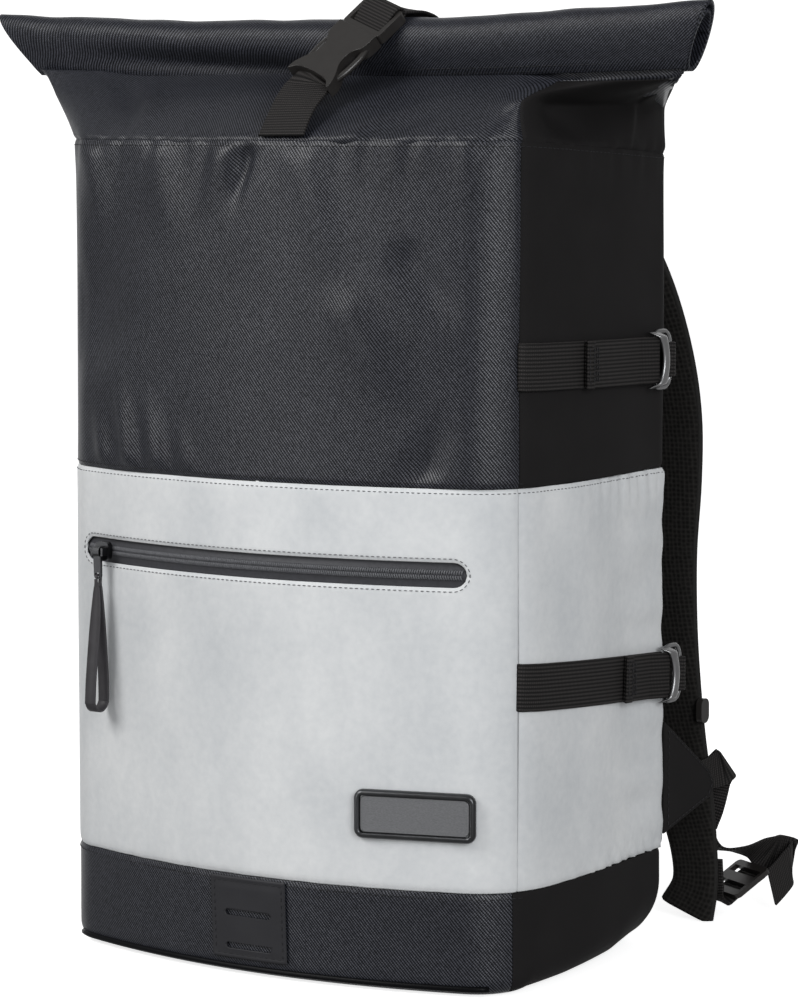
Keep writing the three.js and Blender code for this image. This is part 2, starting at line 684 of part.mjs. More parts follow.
// Zip: tape with its coil behind the slot
function zipTapeGeometry() {
  const back = CLOTH + 2 * GAP;
  const h = ZIP.tapeHeight;
  const section = [[back + ZIP.tapeThick, -h], [back, -h], [back, -3.4], [0, -2.6], [0, 2.6], [back, 3.4],
    [back, h], [back + ZIP.tapeThick, h]];
  const rings = steps([-ZIP.tapeHalf, ZIP.tapeHalf], [16]).map((x) => section.map(([depth, dz]) => {
    const p = frontPoint(x, ZIP.z);
    const ridge = Math.abs(x) < ZIP.tapeHalf ? ZIP.ridge : back;
    return new THREE.Vector3(x, p.y + Math.max(depth, ridge), ZIP.z + dz);
  }));
  return loft(rings);
}
addMesh('zip_tape', zipTapeGeometry(), ZIP_GREY);

// Slider with two cheeks that carry the bar of the pull
const sliderFace = frontPoint(SLIDER.x, ZIP.z).y;
const barY = sliderFace - SLIDER.thick + SLIDER.sink - SLIDER.barReach;
const pullGroup = new THREE.Group();
bag.add(pullGroup);

function sliderGeometry() {
  const body = frontPlate(roundedRectangle(SLIDER.width, SLIDER.height, 2.5), SLIDER.thick, 3)
    .translate(SLIDER.x, sliderFace + SLIDER.sink, ZIP.z);
  const parts = [body];
  for (const side of [-1, 1]) {
    const reach = SLIDER.barReach + 2;
    const cheek = merged(new THREE.BoxGeometry(SLIDER.cheek, reach, 4.4));
    parts.push(cheek.translate(
      SLIDER.x + side * (SLIDER.cheekGap + SLIDER.cheek) / 2, barY + reach / 2 - 1.4, ZIP.z));
  }
  const bar = merged(new THREE.CylinderGeometry(SLIDER.bar, SLIDER.bar, SLIDER.cheekGap + 1, 10));
  parts.push(bar.rotateZ(QUARTER).translate(SLIDER.x, barY, ZIP.z));
  return join(parts);
}
addMesh('zip_slider', sliderGeometry(), GUNMETAL);

// Metal tab hanging from the bar, with an eye for the leather loop
function pullGeometry() {
  const half = PULL.width / 2;
  const shape = new THREE.Shape();
  const low = -PULL.length + half;
  shape.moveTo(half, low);
  shape.lineTo(half, 0);
  shape.absarc(0, 0, half + 0.6, 0.2, Math.PI - 0.2, false);
  shape.lineTo(-half, low);
  shape.absarc(0, low, half, Math.PI, 2 * Math.PI, false);
  shape.holes.push(new THREE.Path().absarc(0, low, PULL.eye, 0, 2 * Math.PI, true));
  const tab = frontPlate(shape, PULL.thick, 5).translate(0, PULL.thick / 2, 0);
  const bore = merged(new THREE.CylinderGeometry(PULL.hole, PULL.hole, 3 * half, 10)).rotateZ(QUARTER);
  const knuckle = merged(new THREE.CylinderGeometry(half + 0.6, half + 0.6, PULL.width, 10)).rotateZ(QUARTER);
  return cut(join([tab, knuckle]), [bore]);
}
addMesh('zip_pull', pullGeometry(), GUNMETAL, pullGroup).position.set(SLIDER.x, barY, ZIP.z);

// Leather loop through the tab's eye: narrow there, then two broad legs that part and meet in a bend
function leatherStations() {
  const eyeZ = ZIP.z - PULL.length + PULL.width / 2;
  const bend = LEATHER.spread;
  const low = eyeZ - LEATHER.length + bend;
  const neck = eyeZ - LEATHER.neck;
  const leg = LEATHER.thick / 2 + 0.4;
  const eyeTurn = (turn) => [-1.9 * Math.cos(turn), eyeZ - 1.2 + 1.2 * Math.sin(turn)];
  const path = steps([0, Math.PI], [6]).map(eyeTurn);
  path.push([leg + 0.5, eyeZ - 5], [leg, neck], [leg + 1.2, lerp(neck, low, 0.3)]);
  path.push([bend - 0.8, lerp(neck, low, 0.75)]);
  path.push(...steps([0, -Math.PI], [8]).map((turn) => [bend * Math.cos(turn), low + bend * Math.sin(turn)]));
  path.push([-bend + 0.8, lerp(neck, low, 0.75)], [-leg - 1.2, lerp(neck, low, 0.3)], [-leg, neck]);
  path.push([-leg - 0.5, eyeZ - 5], [-1.9, eyeZ - 2]);
  return path.map(([out, z]) => {
    const down = clamp01((eyeZ - z) / LEATHER.length);
    const width = lerp(LEATHER.narrow, LEATHER.wide, smooth((eyeZ - 3 - z) / 12));
    return { x: SLIDER.x, y: barY + out + LEATHER.lean * down, z, wx: 1, wy: 0, wz: 0, width };
  });
}

// Ribbon along a flat path: half its thickness to each side
function ribbon(path, thick) {
  const sides = [1, -1].map((side) => path.map((p, i) => {
    const before = path[Math.max(0, i - 1)];
    const after = path[Math.min(path.length - 1, i + 1)];
    const along = after.clone().sub(before).normalize();
    return new THREE.Vector2(p.x - along.y * side * thick / 2, p.y + along.x * side * thick / 2);
  }));
  return new THREE.Shape(sides[0].concat(sides[1].reverse()));
}

const leatherLoop = strip(leatherStations(), (row) => row.width, LEATHER.thick, 1);
addMesh('pull_loop', leatherLoop, LEATHER_GREY, pullGroup);

// Badge: a rounded frame with a bare plate in it, lying on the slope of the front
const badgeFace = frontPoint(BADGE.x, BADGE.z).y;
const badgeSlope = Math.atan2(
  frontPoint(BADGE.x + 1, BADGE.z).y - frontPoint(BADGE.x - 1, BADGE.z).y, 2);
const badgeGroup = new THREE.Group();
badgeGroup.position.set(BADGE.x, badgeFace - GAP, BADGE.z);
badgeGroup.rotation.z = badgeSlope;
bag.add(badgeGroup);

function badgeFrameGeometry() {
  const shape = roundedRectangle(BADGE.width, BADGE.height, BADGE.radius);
  const inside = 2 * (BADGE.frame - GAP);
  const hole = new THREE.Path();
  roundedRectangle(BADGE.width - inside, BADGE.height - inside, BADGE.radius - BADGE.frame / 2, hole);
  shape.holes.push(hole);
  return frontPlate(shape, BADGE.frameThick, 3);
}
const plateShape = roundedRectangle(
  BADGE.width - 2 * BADGE.frame, BADGE.height - 2 * BADGE.frame, BADGE.radius - BADGE.frame / 2);
addMesh('badge_frame', badgeFrameGeometry(), GUNMETAL, badgeGroup);
addMesh('badge_plate', frontPlate(plateShape, BADGE.plateThick, 3), BRUSHED_PLATE, badgeGroup);

// Buckle on the closing strap, in a group whose y runs along the strap and z away from the bag
const low = new THREE.Vector3(...Object.values(STRAP_TOP.buckleLow));
const high = new THREE.Vector3(...Object.values(STRAP_TOP.buckleHigh));
const buckleUp = high.clone().sub(low).normalize();
const buckleOut = new THREE.Vector3(0, -0.7, 0.7);
buckleOut.addScaledVector(buckleUp, -buckleOut.dot(buckleUp)).normalize();
const buckleSide = buckleUp.clone().cross(buckleOut);
const buckleGroup = new THREE.Group();
buckleGroup.applyMatrix4(new THREE.Matrix4().makeBasis(buckleSide, buckleUp, buckleOut).setPosition(low));
bag.add(buckleGroup);
const buckleLength = high.distanceTo(low);

function flatPiece(shape, depth) {
  return merged(new THREE.ExtrudeGeometry(shape, { depth, bevelEnabled: false, curveSegments: 2 }));
}

function femaleGeometry() {
  const right = BUCKLE.halfWidths.map((row) => new THREE.Vector2(row.half, row.along));
  const left = BUCKLE.halfWidths.map((row) => new THREE.Vector2(-row.half, row.along)).reverse();
  return flatPiece(new THREE.Shape(right.concat(left)), BUCKLE.thick);
}

function maleGeometry() {
  const length = buckleLength - BUCKLE.femaleLength - GAP;
  const shape = roundedRectangle(2 * BUCKLE.maleHalf, length, 2);
  const hole = new THREE.Path();
  roundedRectangle(2 * BUCKLE.slotHalf, BUCKLE.slot, 0.6, hole);
  shape.holes.push(hole);
  return flatPiece(shape, BUCKLE.thick - 2).translate(0, BUCKLE.femaleLength + GAP + length / 2, 0.5);
}
addMesh('buckle_female', femaleGeometry(), SATIN_PLASTIC, buckleGroup);
addMesh('buckle_male', maleGeometry(), SATIN_PLASTIC, buckleGroup);

// Closing strap: up the collar from its seam to the buckle, and from the buckle over the roll to the back
function station(p, w) {
  return { x: p.x, y: p.y, z: p.z, wx: w.x, wy: w.y, wz: w.z };
}

function onCollar(rise) {
  const share = STRAP_TOP.footShare - STRAP_TOP.shareFall * rise;
  const p = collarPoint(share, rise, 0);
  const along = collarPoint(share, rise + 0.02, 0).sub(collarPoint(share, rise - 0.02, 0));
  const out = new THREE.Vector3(0, -along.z, along.y).normalize();
  const clear = rise > 0.1 ? 4 * GAP : GAP;
  return p.addScaledVector(out, WEB.thick / 2 + clear);
}

const level = new THREE.Vector3(1, 0, 0);
const seatOut = 3;
const seatRun = 6;
const seatUp = 2 * GAP;
const strapIn = low.clone().addScaledVector(buckleOut, seatOut).addScaledVector(buckleUp, -seatUp);
const strapOut = high.clone().addScaledVector(buckleOut, seatOut).addScaledVector(buckleUp, seatUp);
const frontStations = STRAP_TOP.footRises.map((rise) => station(onCollar(rise), level));
frontStations.push(station(strapIn.clone().addScaledVector(buckleUp, -seatRun), buckleSide));
frontStations.push(station(strapIn, buckleSide));
const backPath = [
  [high.x + 3, ROLL.y + 5, ROLL_TOP.z - 2.4],
  [high.x + 5, ROLL.y + 15, ROLL_TOP.z - 7],
  [high.x + 6, ROLL.y + 22, ROLL.z - 4],
  [high.x + 4, ROLL.y + 31, COLLAR_TOP + 1],
  [high.x, ROLL.y + 62, COLLAR_TOP - 4],
  [high.x - 4, HALF_DEPTH - 8, SEAM_Z + 26],
  [high.x - 6, HALF_DEPTH + 2.5, SEAM_Z + 8],
];
const backStations = backPath.map((place) => station(new THREE.Vector3(...place), level));
backStations.unshift(station(strapOut.clone().addScaledVector(buckleUp, seatRun / 4), buckleSide));
backStations.unshift(station(strapOut, buckleSide));
addMesh('top_webbing_front', strip(frontStations, () => WEB.width, WEB.thick, 1), WEBBING_BLACK);
addMesh('top_webbing_back', strip(backStations, () => WEB.width, WEB.thick, 1), WEBBING_BLACK);

// Side straps: webbing along the side, round the hook's bar and back to its hem
function wallPath(fromShare, toShare, off, count) {
  return steps([fromShare, toShare], [count]).map((share) => {
    const p = bodyPoint(share, SILVER_TOP, -off);
    return new THREE.Vector2(p.x, p.y);
  });
}

function standingRibbon(path, row, height) {
  const tape = new THREE.ExtrudeGeometry(ribbon(path, WEB.thick), { depth: height, bevelEnabled: false });
  const place = tape.getAttribute('position');
  for (let i = 0; i < place.count; i += 1) {
    place.setZ(i, place.getZ(i) + row.z - row.fall * (place.getY(i) + HALF_DEPTH));
  }
  return merged(tape);
}

function turnRound(centre, from, count) {
  return steps([0, Math.PI], [count]).map((turn) => {
    const p = from.clone().rotateAround(new THREE.Vector2(), turn).multiplyScalar(HOOK.turn);
    return p.add(centre);
  });
}

// How far out the hook's bar lies
function hookX(row) {
  return bodyPoint(sideShare(row.bar), SILVER_TOP, -HOOK.off).x + GAP / 2;
}

function sideWebbingGeometry(row, startShare) {
  const near = 1.5 * GAP + WEB.thick / 2;
  const barCentre = new THREE.Vector2(hookX(row), row.bar);
  const corner = startShare < CORNER_END ? wallPath(startShare, CORNER_END, near, 3).slice(0, -1) : [];
  const under = corner.concat(wallPath(CORNER_END, sideShare(row.bar - 2), near, 9));
  const over = wallPath(sideShare(row.bar - 16), sideShare(row.hem), near + WEB.thick + 2 * GAP, 6);
  const bend = turnRound(barCentre, new THREE.Vector2(-1, 0), 8).map((p) => new THREE.Vector2(
    p.x, row.bar + Math.abs(p.y - row.bar)));
  return standingRibbon(under.concat(bend, over), row, WEB.width);
}

// Bowed front bar of the hook, standing proud of the strap, with a foot at each end
function crescentParts() {
  const half = CRESCENT.height / 2;
  const bow = (z) => CRESCENT.start + CRESCENT.bow * (1 - (z / half) ** 2);
  const inner = steps([-half, half], [6]).map((z) => new THREE.Vector2(bow(z) - HOOK.length / 2, z));
  const outer = inner.map((p) => new THREE.Vector2(p.x + CRESCENT.width, p.y)).reverse();
  const bowed = new THREE.ExtrudeGeometry(new THREE.Shape(inner.concat(outer)), {
    depth: CRESCENT.thick, bevelEnabled: false,
  });
  const parts = [merged(bowed.translate(0, 0, CRESCENT.proud))];
  for (const end of [-1, 1]) {
    const reach = CRESCENT.proud + CRESCENT.thick;
    const foot = new THREE.BoxGeometry(CRESCENT.width, CRESCENT.foot, reach);
    const y = CRESCENT.start + CRESCENT.width / 2 + 0.6 - HOOK.length / 2;
    parts.push(merged(foot.translate(y, end * (half - CRESCENT.foot / 2), reach / 2)));
  }
  return parts;
}

function hookGeometry(row) {
  const shape = roundedRectangle(HOOK.length + HOOK.bar, HOOK.height, HOOK.radius);
  const hole = new THREE.Path();
  roundedRectangle(HOOK.length - HOOK.bar, HOOK.height - 2 * HOOK.bar, HOOK.hole, hole);
  shape.holes.push(hole);
  const ring = new THREE.ExtrudeGeometry(shape, { depth: HOOK.bar, bevelEnabled: false, curveSegments: 2 });
  const hook = join([merged(ring), ...crescentParts()]);
  const y = new THREE.Vector3(0, 1, 0);
  const z = new THREE.Vector3(0, 0, 1);
  const x = new THREE.Vector3(1, 0, 0);
  hook.applyMatrix4(new THREE.Matrix4().makeBasis(y, z, x));
  const middle = row.bar + HOOK.length / 2;
  const height = row.z - row.fall * (row.bar + HALF_DEPTH) + WEB.width / 2;
  return hook.translate(hookX(row) - HOOK.bar / 2, middle, height);
}

function hookLoopGeometry(row) {
  const sewn = new THREE.Vector2(row.sewn.x, row.sewn.y);
  const bar = new THREE.Vector2(hookX(row), row.bar + HOOK.length);
  const along = bar.clone().sub(sewn).normalize();
  const across = new THREE.Vector2(-along.y, along.x);
  const seat = WEB.thick / 2 + GAP / 2;
  const start = sewn.clone().addScaledVector(across, seat);
  const end = sewn.clone().addScaledVector(across, -seat);
  const bend = turnRound(bar, across, 8).map((p) => {
    const back = p.clone().sub(bar).dot(along);
    return back < 0 ? p.clone().addScaledVector(along, -2 * back) : p;
  });
  return standingRibbon([start, ...bend, end], { z: row.z + 3, fall: row.fall }, WEB.width - 6);
}

for (const row of SIDE_STRAPS) {
  addMesh(`side_webbing_${row.name}_right`, sideWebbingGeometry(row, SEAM_SHARE + 0.003), WEBBING_BLACK);
  addMesh(`side_webbing_${row.name}_left`, mirrored(sideWebbingGeometry(row, LEFT_START)), WEBBING_BLACK);
  addPair(`side_hook_${row.name}`, hookGeometry(row), GREY_METAL);
  addPair(`hook_loop_${row.name}`, hookLoopGeometry(row), WEBBING_BLACK);
}

// Shoulder straps, triangles, adjusting webbing and its lock
const shoulderStations = SHOULDER.map((row) => ({ ...row, wx: 1, wy: 0, wz: 0 }));
addPair('shoulder_strap', strip(shoulderStations, (row) => row.width, SHOULDER_THICK, 0.35), PADDED_MESH);

function wingGeometry() {
  const shape = new THREE.Shape(WING.corners.map(([y, z]) => new THREE.Vector2(y, z)));
  const plate = new THREE.ExtrudeGeometry(shape, { depth: WING.thick, bevelEnabled: false });
  const y = new THREE.Vector3(0, 1, 0);
  const z = new THREE.Vector3(0, 0, 1);
  const x = new THREE.Vector3(1, 0, 0);
  return merged(plate.applyMatrix4(new THREE.Matrix4().makeBasis(y, z, x)).translate(WING.x, 0, 0));
}
addPair('strap_wing', wingGeometry(), BLACK_CLOTH);
const lowerWidth = (row) => LOWER_WIDTH * (row.fold ? Math.SQRT2 : 1);
addPair('lower_webbing', strip(LOWER_WEBBING, lowerWidth, WEB.thick, 1), WEBBING_BLACK);
addPair('strap_tab', strip(STRAP_TAB, () => WEB.width, WEB.thick, 1), WEBBING_BLACK);

function lockGeometry() {
  const shape = roundedRectangle(LOCK.width, LOCK.length, 3);
  for (const side of [-1, 1]) {
    const hole = new THREE.Path();
    const middle = side * LOCK.length / 4.4;
    const half = LOCK.width / 2 - 2.6;
    hole.moveTo(-half, middle - LOCK.slot / 2);
    hole.lineTo(-half, middle + LOCK.slot / 2);
    hole.lineTo(half, middle + LOCK.slot / 2);
    hole.lineTo(half, middle - LOCK.slot / 2);
    shape.holes.push(hole);
  }
  const plate = flatPiece(shape, LOCK.thick).translate(0, 0, -LOCK.thick / 2);
  plate.rotateX(THREE.MathUtils.degToRad(LOCK.tiltDeg)).rotateZ(THREE.MathUtils.degToRad(LOCK.turnDeg));
  return plate.translate(LOCK.x, LOCK.y, LOCK.z);
}
addPair('ladder_lock', lockGeometry(), SATIN_PLASTIC);

// Slider of the chest strap on the strap's outer edge
function clipGeometry() {
  const strapX = tableAt([...SHOULDER].reverse(), 'x', SLIDER_CLIP.z, 'z');
  const strapY = tableAt([...SHOULDER].reverse(), 'y', SLIDER_CLIP.z, 'z');
  const strapHalf = tableAt([...SHOULDER].reverse(), 'width', SLIDER_CLIP.z, 'z') / 2;
  const shape = roundedRectangle(SLIDER_CLIP.thick, SLIDER_CLIP.length, 4);
  const clip = new THREE.ExtrudeGeometry(shape, {
    depth: SLIDER_CLIP.out, bevelEnabled: false, curveSegments: 4,
  });
  const y = new THREE.Vector3(0, 1, 0);
  const z = new THREE.Vector3(0, 0, 1);
  const x = new THREE.Vector3(1, 0, 0);
  clip.applyMatrix4(new THREE.Matrix4().makeBasis(y, z, x));
  return merged(clip.translate(strapX + strapHalf + 2 * GAP, strapY - SLIDER_CLIP.back, SLIDER_CLIP.z));
}
addPair('sternum_slider', clipGeometry(), SATIN_PLASTIC);

export default bag;
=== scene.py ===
import math

import bmesh
import bpy
from mathutils import Matrix, Vector


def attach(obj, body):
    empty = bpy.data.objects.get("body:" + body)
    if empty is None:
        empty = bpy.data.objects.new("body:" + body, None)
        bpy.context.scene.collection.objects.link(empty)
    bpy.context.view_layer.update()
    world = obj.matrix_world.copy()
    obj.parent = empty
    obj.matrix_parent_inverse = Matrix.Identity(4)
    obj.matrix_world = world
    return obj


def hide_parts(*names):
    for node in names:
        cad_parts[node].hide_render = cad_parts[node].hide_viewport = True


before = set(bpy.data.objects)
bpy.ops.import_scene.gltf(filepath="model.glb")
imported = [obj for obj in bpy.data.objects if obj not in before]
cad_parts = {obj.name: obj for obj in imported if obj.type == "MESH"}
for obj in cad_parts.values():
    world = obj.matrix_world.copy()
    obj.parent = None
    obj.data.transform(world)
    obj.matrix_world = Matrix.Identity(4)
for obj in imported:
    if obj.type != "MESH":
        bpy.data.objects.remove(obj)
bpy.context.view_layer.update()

# Sizes of the bag, in millimetres
MM = 0.001
HALF_WIDTH = 145
HALF_DEPTH = 83
FRONT_CORNER = 24
BACK_CORNER = 12
SIDE_SWELL = 4.4
SWELL_MIDDLE = -0.15 * HALF_DEPTH
SWELL_FRONT = 0.85 * HALF_DEPTH
SWELL_BACK = 1.15 * HALF_DEPTH
FRONT_BULGE = [(0, 28), (60, 31), (220, 32), (340, 27), (443, 20)]
BAND_TOP = 54.5
SILVER_TOP = 265
SEAM_Z = 443
SEAM_FALL = 7
FRONT_EDGE = 9
SIDE_EDGE = [(-83, 5), (-60, 16), (-20, 18), (30, 24), (60, 34), (83, 40)]
CLOTH = 1.6
BASE_CLOTH = 2.2
SEW_GAP = 0.15
WEB_WIDTH = 25
WEB_THICK = 1.6
CORNER_X = HALF_WIDTH - FRONT_CORNER
CORNER_Y = HALF_DEPTH - FRONT_CORNER
BACK_X = HALF_WIDTH - BACK_CORNER
BACK_Y = HALF_DEPTH - BACK_CORNER

# Half of the outline, from the middle of the front to the back: shares and lengths where its stretches end
FRONT_END = 0.4
CORNER_END = 0.52
SIDE_END = 0.94
SEAM_SHARE = 0.479
FRONT_LENGTH = 125
OUTLINE_LENGTH = 312
SHARE_LENGTHS = [(0, 0), (FRONT_END, FRONT_LENGTH), (CORNER_END, 163), (SIDE_END, 293), (1, OUTLINE_LENGTH)]
LENGTH_SHARES = [(length, share) for share, length in SHARE_LENGTHS]

SIDES = (("right", 1), ("left", -1))
X_WAY = Vector((1, 0, 0))
Y_WAY = Vector((0, 1, 0))
Z_WAY = Vector((0, 0, 1))

# Soft dents of the front cloth: x, z, reach, depth
FRONT_DENTS = [(-118, 395, 34, 2.5), (-95, 325, 40, -2), (112, 318, 32, 2.5), (40, 330, 45, 1.5)]

# Folds of the front cloth: start x and z, end x and z, half width, lift
FRONT_FOLDS = [
    (-3, 446, -18, 400, 4.5, -5.0),
    (-20, 446, -36, 396, 7, 3.0),
    (-122, 352, -106, 312, 28, -5.5),
    (-122, 446, -114, 384, 10, 3.8),
    (-106, 258, -118, 308, 6.5, 3.2),
    (-84, 258, -98, 324, 6.5, 4.2),
    (-62, 258, -76, 316, 6.5, 3.6),
    (-40, 258, -50, 300, 6.5, 2.2),
    (94, 380, 124, 344, 10, -3.4),
    (60, 352, 96, 300, 12, 3.2),
    (98, 258, 116, 310, 9, -3.6),
    (30, 430, 52, 372, 10, 2.0),
    (-70, 432, -52, 380, 11, 2.0),
]

# Gathers beside the seams: size, reach from the seam, pitch
GATHERS = {
    "front": (1.0, 16, 21),
    "side": (0.6, 14, 19),
    "silver_top": (0.22, 9, 21),
    "silver_low": (0.35, 9, 25),
    "back_top": (1.7, 17, 11),
    "back_low": (1.4, 15, 10),
}

# Broad waves of the panels: size, pitch along, pitch up, seed
WAVES = {
    "front": (0.9, 19, 23, 0.4),
    "side": (0.8, 23, 33, 2.1),
    "silver": (0.25, 26, 29, 0.8),
    "silver_side": (1.1, 17, 41, 1.4),
}
FOLD_HOLD = 9
FOLD_SIDE_HOLD = 16
FOLD_FADE = 0.7

# Collar and rolled mouth: shares run round the mouth, from the middle of its front to the middle of its back
WRAP_SHARE = 0.7
TIP_SHARE = 0.5
EAR_START = 0.33
PANEL_REACH = 0.97
RIGHT_REACH = 0.66
MOUTH_GAP = 2.6
LEFT_FORWARD = 9
COLLAR_TOP = 483
MOUTH_Y = -30
ROLL_Z = 495
ROLL_A = 16
ROLL_B = 19.4
ROLL_LEAN = 0.24
ROLL_START = 225
ROLL_TURN = 570
ROLL_TIGHTER = 0.36
ROLL_PINCH = 0.42
ROLL_SQUARE = 0.94
ROLL_CREASE = {"x": -60, "reach": 85, "z": 484.5, "slope": 0.05, "above": 6, "below": 11, "depth": 9}
ROLL_BOTTOM = {"z": 480, -1: 196, 1: 216}
ROLL_TOP = {"z": 512, -1: 224, 1: 231}
MOUTH_SAG = 7
LIP_START = 0.5
LIP_RUN = 0.36
GUSSET = {"share": 0.44, "reach": 0.085, "depth": 14}
GUSSET_CLOTH = {"from": 0.338, "to": 0.66, "top": 0.8}
CREASE_SHARE = 0.57
COLLAR_ALLOWANCE = 5

# Folds of the collar: start and end as length from the middle and height over the seam, half width, lift
COLLAR_SPAN = 446
COLLAR_FOLDS = [
    (-105, 28, -89, 4, 7, -3.0),
    (-89, 22, -78, 2, 6, 2.2),
    (54, 4, 89, 22, 7, 2.6),
    (71, 3, 112, 20, 6, -2.6),
    (-54, 20, -9, 34, 8, 2.0),
]

# Padded back
BACK_PAD = {"low": 6, "y": 86, "thick": 8, "crown": 4, "channel": 1.6, "channel_at": 0.42, "channel_reach": 5}

# Zip, slider and pull
ZIP_Z = 220.5
ZIP_HALF = 122.5
ZIP_RADIUS = 6.5
TAPE_HALF = 123.3
TEETH_HALF = 121
TOOTH_PITCH = 1.25
SLIDER_X = -104
BAR_Y = -106.129
PULL_LENGTH = 15
PULL_WIDTH = 4.4
LEATHER = {"wide": 7, "narrow": 2, "thick": 1.5, "length": 74, "spread": 6, "neck": 9, "lean": -2}

# Badge and patch
BADGE = {"x": 97, "z": 94.5, "width": 66, "height": 26, "radius": 5, "frame": 3.6}
BADGE_PROFILE = [(0, 0), (0.2, 1.6), (1.1, 2.7), (2.0, 3.0), (2.8, 2.8), (3.2, 2.2), (3.3, 0)]
PATCH = {"half": 24, "top": 53.5, "bottom": 9, "slot": 14.5, "slot_radius": 1.7, "slots": (34, 16)}
PATCH_HEM = 2.4

# Closing strap and buckle
STRAP_SHARE = 0.038
STRAP_SHARE_FALL = 0.03
BUCKLE_LOW = Vector((16, -73, 471))
BUCKLE_HIGH = Vector((41, -38, 510))
BUCKLE_HALVES = [
    (-1, 17.5), (3, 17.6), (8, 15.4), (14, 11.4), (19, 10.2), (24, 11.2), (29, 15.4), (38, 15.8),
]
BUCKLE_LENGTH = (BUCKLE_HIGH - BUCKLE_LOW).length
BUCKLE_THICK = 8
MOUTH_HALF = 14.8
PLUG_START = 38.3
PLUG_WIDTH = 31.6
PLUG_THICK = 6
PLUG_BAR = 3.5
STRAP_BACK = [
    (44, -25, 509.6), (46, -15, 505), (47, -8, 491), (45, 1, 484),
    (41, 32, 479), (37, 75, 469), (35, 85.5, 451),
]
BUCKLE_PRONG = [(6, 13.5), (12, 15.2), (19, 15.8), (26, 15.2), (32, 13)]

# Side straps: name, height at the front, fall, hook bar, hem, place where the loop is sewn in
SIDE_STRAPS = [
    ("upper", 315, 0.02, 53, -23, (144, 82.5)),
    ("lower", 150, 0.07, 68, 22, (143.5, 94)),
]
STRAP_SEAT = 0.45
STRAP_HEM = {"length": 7, "lap": 0.4, "off": 4.6, "thick": 1.2}
LOOP_WIDTH = 19
HOOK = {"length": 18, "height": 33, "bar": 2.6, "off": 3.9, "turn": 2.8}
CRESCENT = {"width": 6, "thick": 2.6, "proud": 4.9, "start": -2.4, "bow": 5.5, "flare": 0.7}
STRAP_START = {1: SEAM_SHARE + 0.001, -1: CORNER_END}

# Shoulder strap on the right: x, y, z, width
SHOULDER = [
    (64, 95, 436, 70), (74, 96, 412, 70), (86, 103, 388, 69), (97, 115, 356, 66), (102, 127, 322, 64),
    (104, 135, 288, 62), (104, 138, 252, 59), (104, 137, 212, 55), (107, 137, 172, 50), (111, 139, 136, 45),
    (115, 142, 104, 41), (121, 146, 70, 35), (126, 148, 40, 28), (127, 148, 20, 27), (122, 148, 4, 33),
]
SHOULDER_THICK = 9
WING_X = 141
WING_THICK = 3
WING_CORNERS = [(80.6, 124), (80.6, 61), (134, 74), (139, 81), (134, 89)]

# Adjusting webbing on the right: place, direction of its width, 1 where it is folded along that line, width
LOWER_WIDTH = 19
LOWER_WEBBING = [
    (139.7, 112, 83, 0, 0, 1, 0, 19), (139.7, 140, 86, 0, 0, 1, 0, 19),
    (143, 154.5, 89, 0, -0.73, 0.68, 1, 19), (141.5, 155.1, 89.6, 0, -0.73, 0.68, 1, 19),
    (140, 154.5, 89, 0, -0.73, 0.68, 1, 19),
    (132.5, 160, 77, -0.7, -0.65, 0.1, 0, 19), (127, 162, 62, -0.93, -0.3, 0, 0, 19),
    (122, 164, 48, -0.95, -0.2, 0, 0, 19), (130, 168.5, 38, -0.87, 0.5, -0.1, 0, 19),
    (140, 177, 36.5, -0.8, 0.5, -0.3, 0, 19), (147, 188, 36, -0.6, 0.3, -0.7, 0, 21),
    (150, 200, 31, -0.1, 0.03, -0.98, 0, 24), (154.5, 211, 27, 0, 0, -1, 0, 25),
    (158.5, 205, 25, 0, 0, -1, 0, 25), (158.5, 195, 20, 0, 0.2, -0.98, 0, 25),
    (157.5, 184, 15, 0, 0.25, -0.97, 0, 25),
]
STRAP_TAB = [
    (129, 154, 34, 1, 0, 0), (130, 154.4, 17, 1, 0, 0), (131.5, 157.5, 12, 0.97, -0.2, 0),
    (134.5, 161.5, 9.6, 0.93, -0.35, 0), (138.2, 166, 12.6, 0.87, -0.5, 0),
    (142.7, 173.7, 17.8, 0.87, -0.5, 0), (147, 181, 22.8, 0.87, -0.5, 0),
]


# Small helpers
def clamp(value, low=0.0, high=1.0):
    return min(high, max(low, value))


def smooth(value):
    t = clamp(value)
    return t * t * (3 - 2 * t)


def lerp(a, b, t):
    return a + (b - a) * t


def table_at(rows, place):
    for low, high in zip(rows, rows[1:]):
        if place <= high[0]:
            return lerp(low[1], high[1], clamp((place - low[0]) / (high[0] - low[0])))
    return rows[-1][1]


def spread(start, end, count):
    return [lerp(start, end, i / count) for i in range(count + 1)]


def graded(start, end, step, edges=(0.5, 1.1, 1.9, 3, 4.5)):
    """Places from start to end, closer together near both ends"""
    room = abs(end - start)
    way = 1 if end > start else -1
    middle = max(2, int((room - 2 * edges[-1]) / step))
    inside = spread(edges[-1], room - edges[-1], middle)
    places = [0, *edges[:-1], *inside, *[room - e for e in reversed(edges[:-1])], room]
    return [start + way * p for p in places]


def ripple(a, b, seed):
    """Gentle uneven wave between -1 and 1"""
    return (
        math.sin(a + 1.7 * seed) * 0.5
        + math.sin(1.63 * a + 0.71 * b + 2.3 * seed) * 0.3
        + math.sin(0.57 * a - 1.31 * b + 0.9 * seed) * 0.2
    )


def bell(distance, reach):
    """1 at no distance, falling softly to 0 past the reach"""
    return math.exp(-((distance / reach) ** 2))


def signed_power(value, power):
    return math.copysign(abs(value) ** power, value)


def circle_turns(count):
    return [2 * math.pi * i / count for i in range(count)]


# Body surface
def edge_drop(height, radius):
    below = clamp((radius - height) / radius)
    return radius * (1 - math.sqrt(1 - below * below))


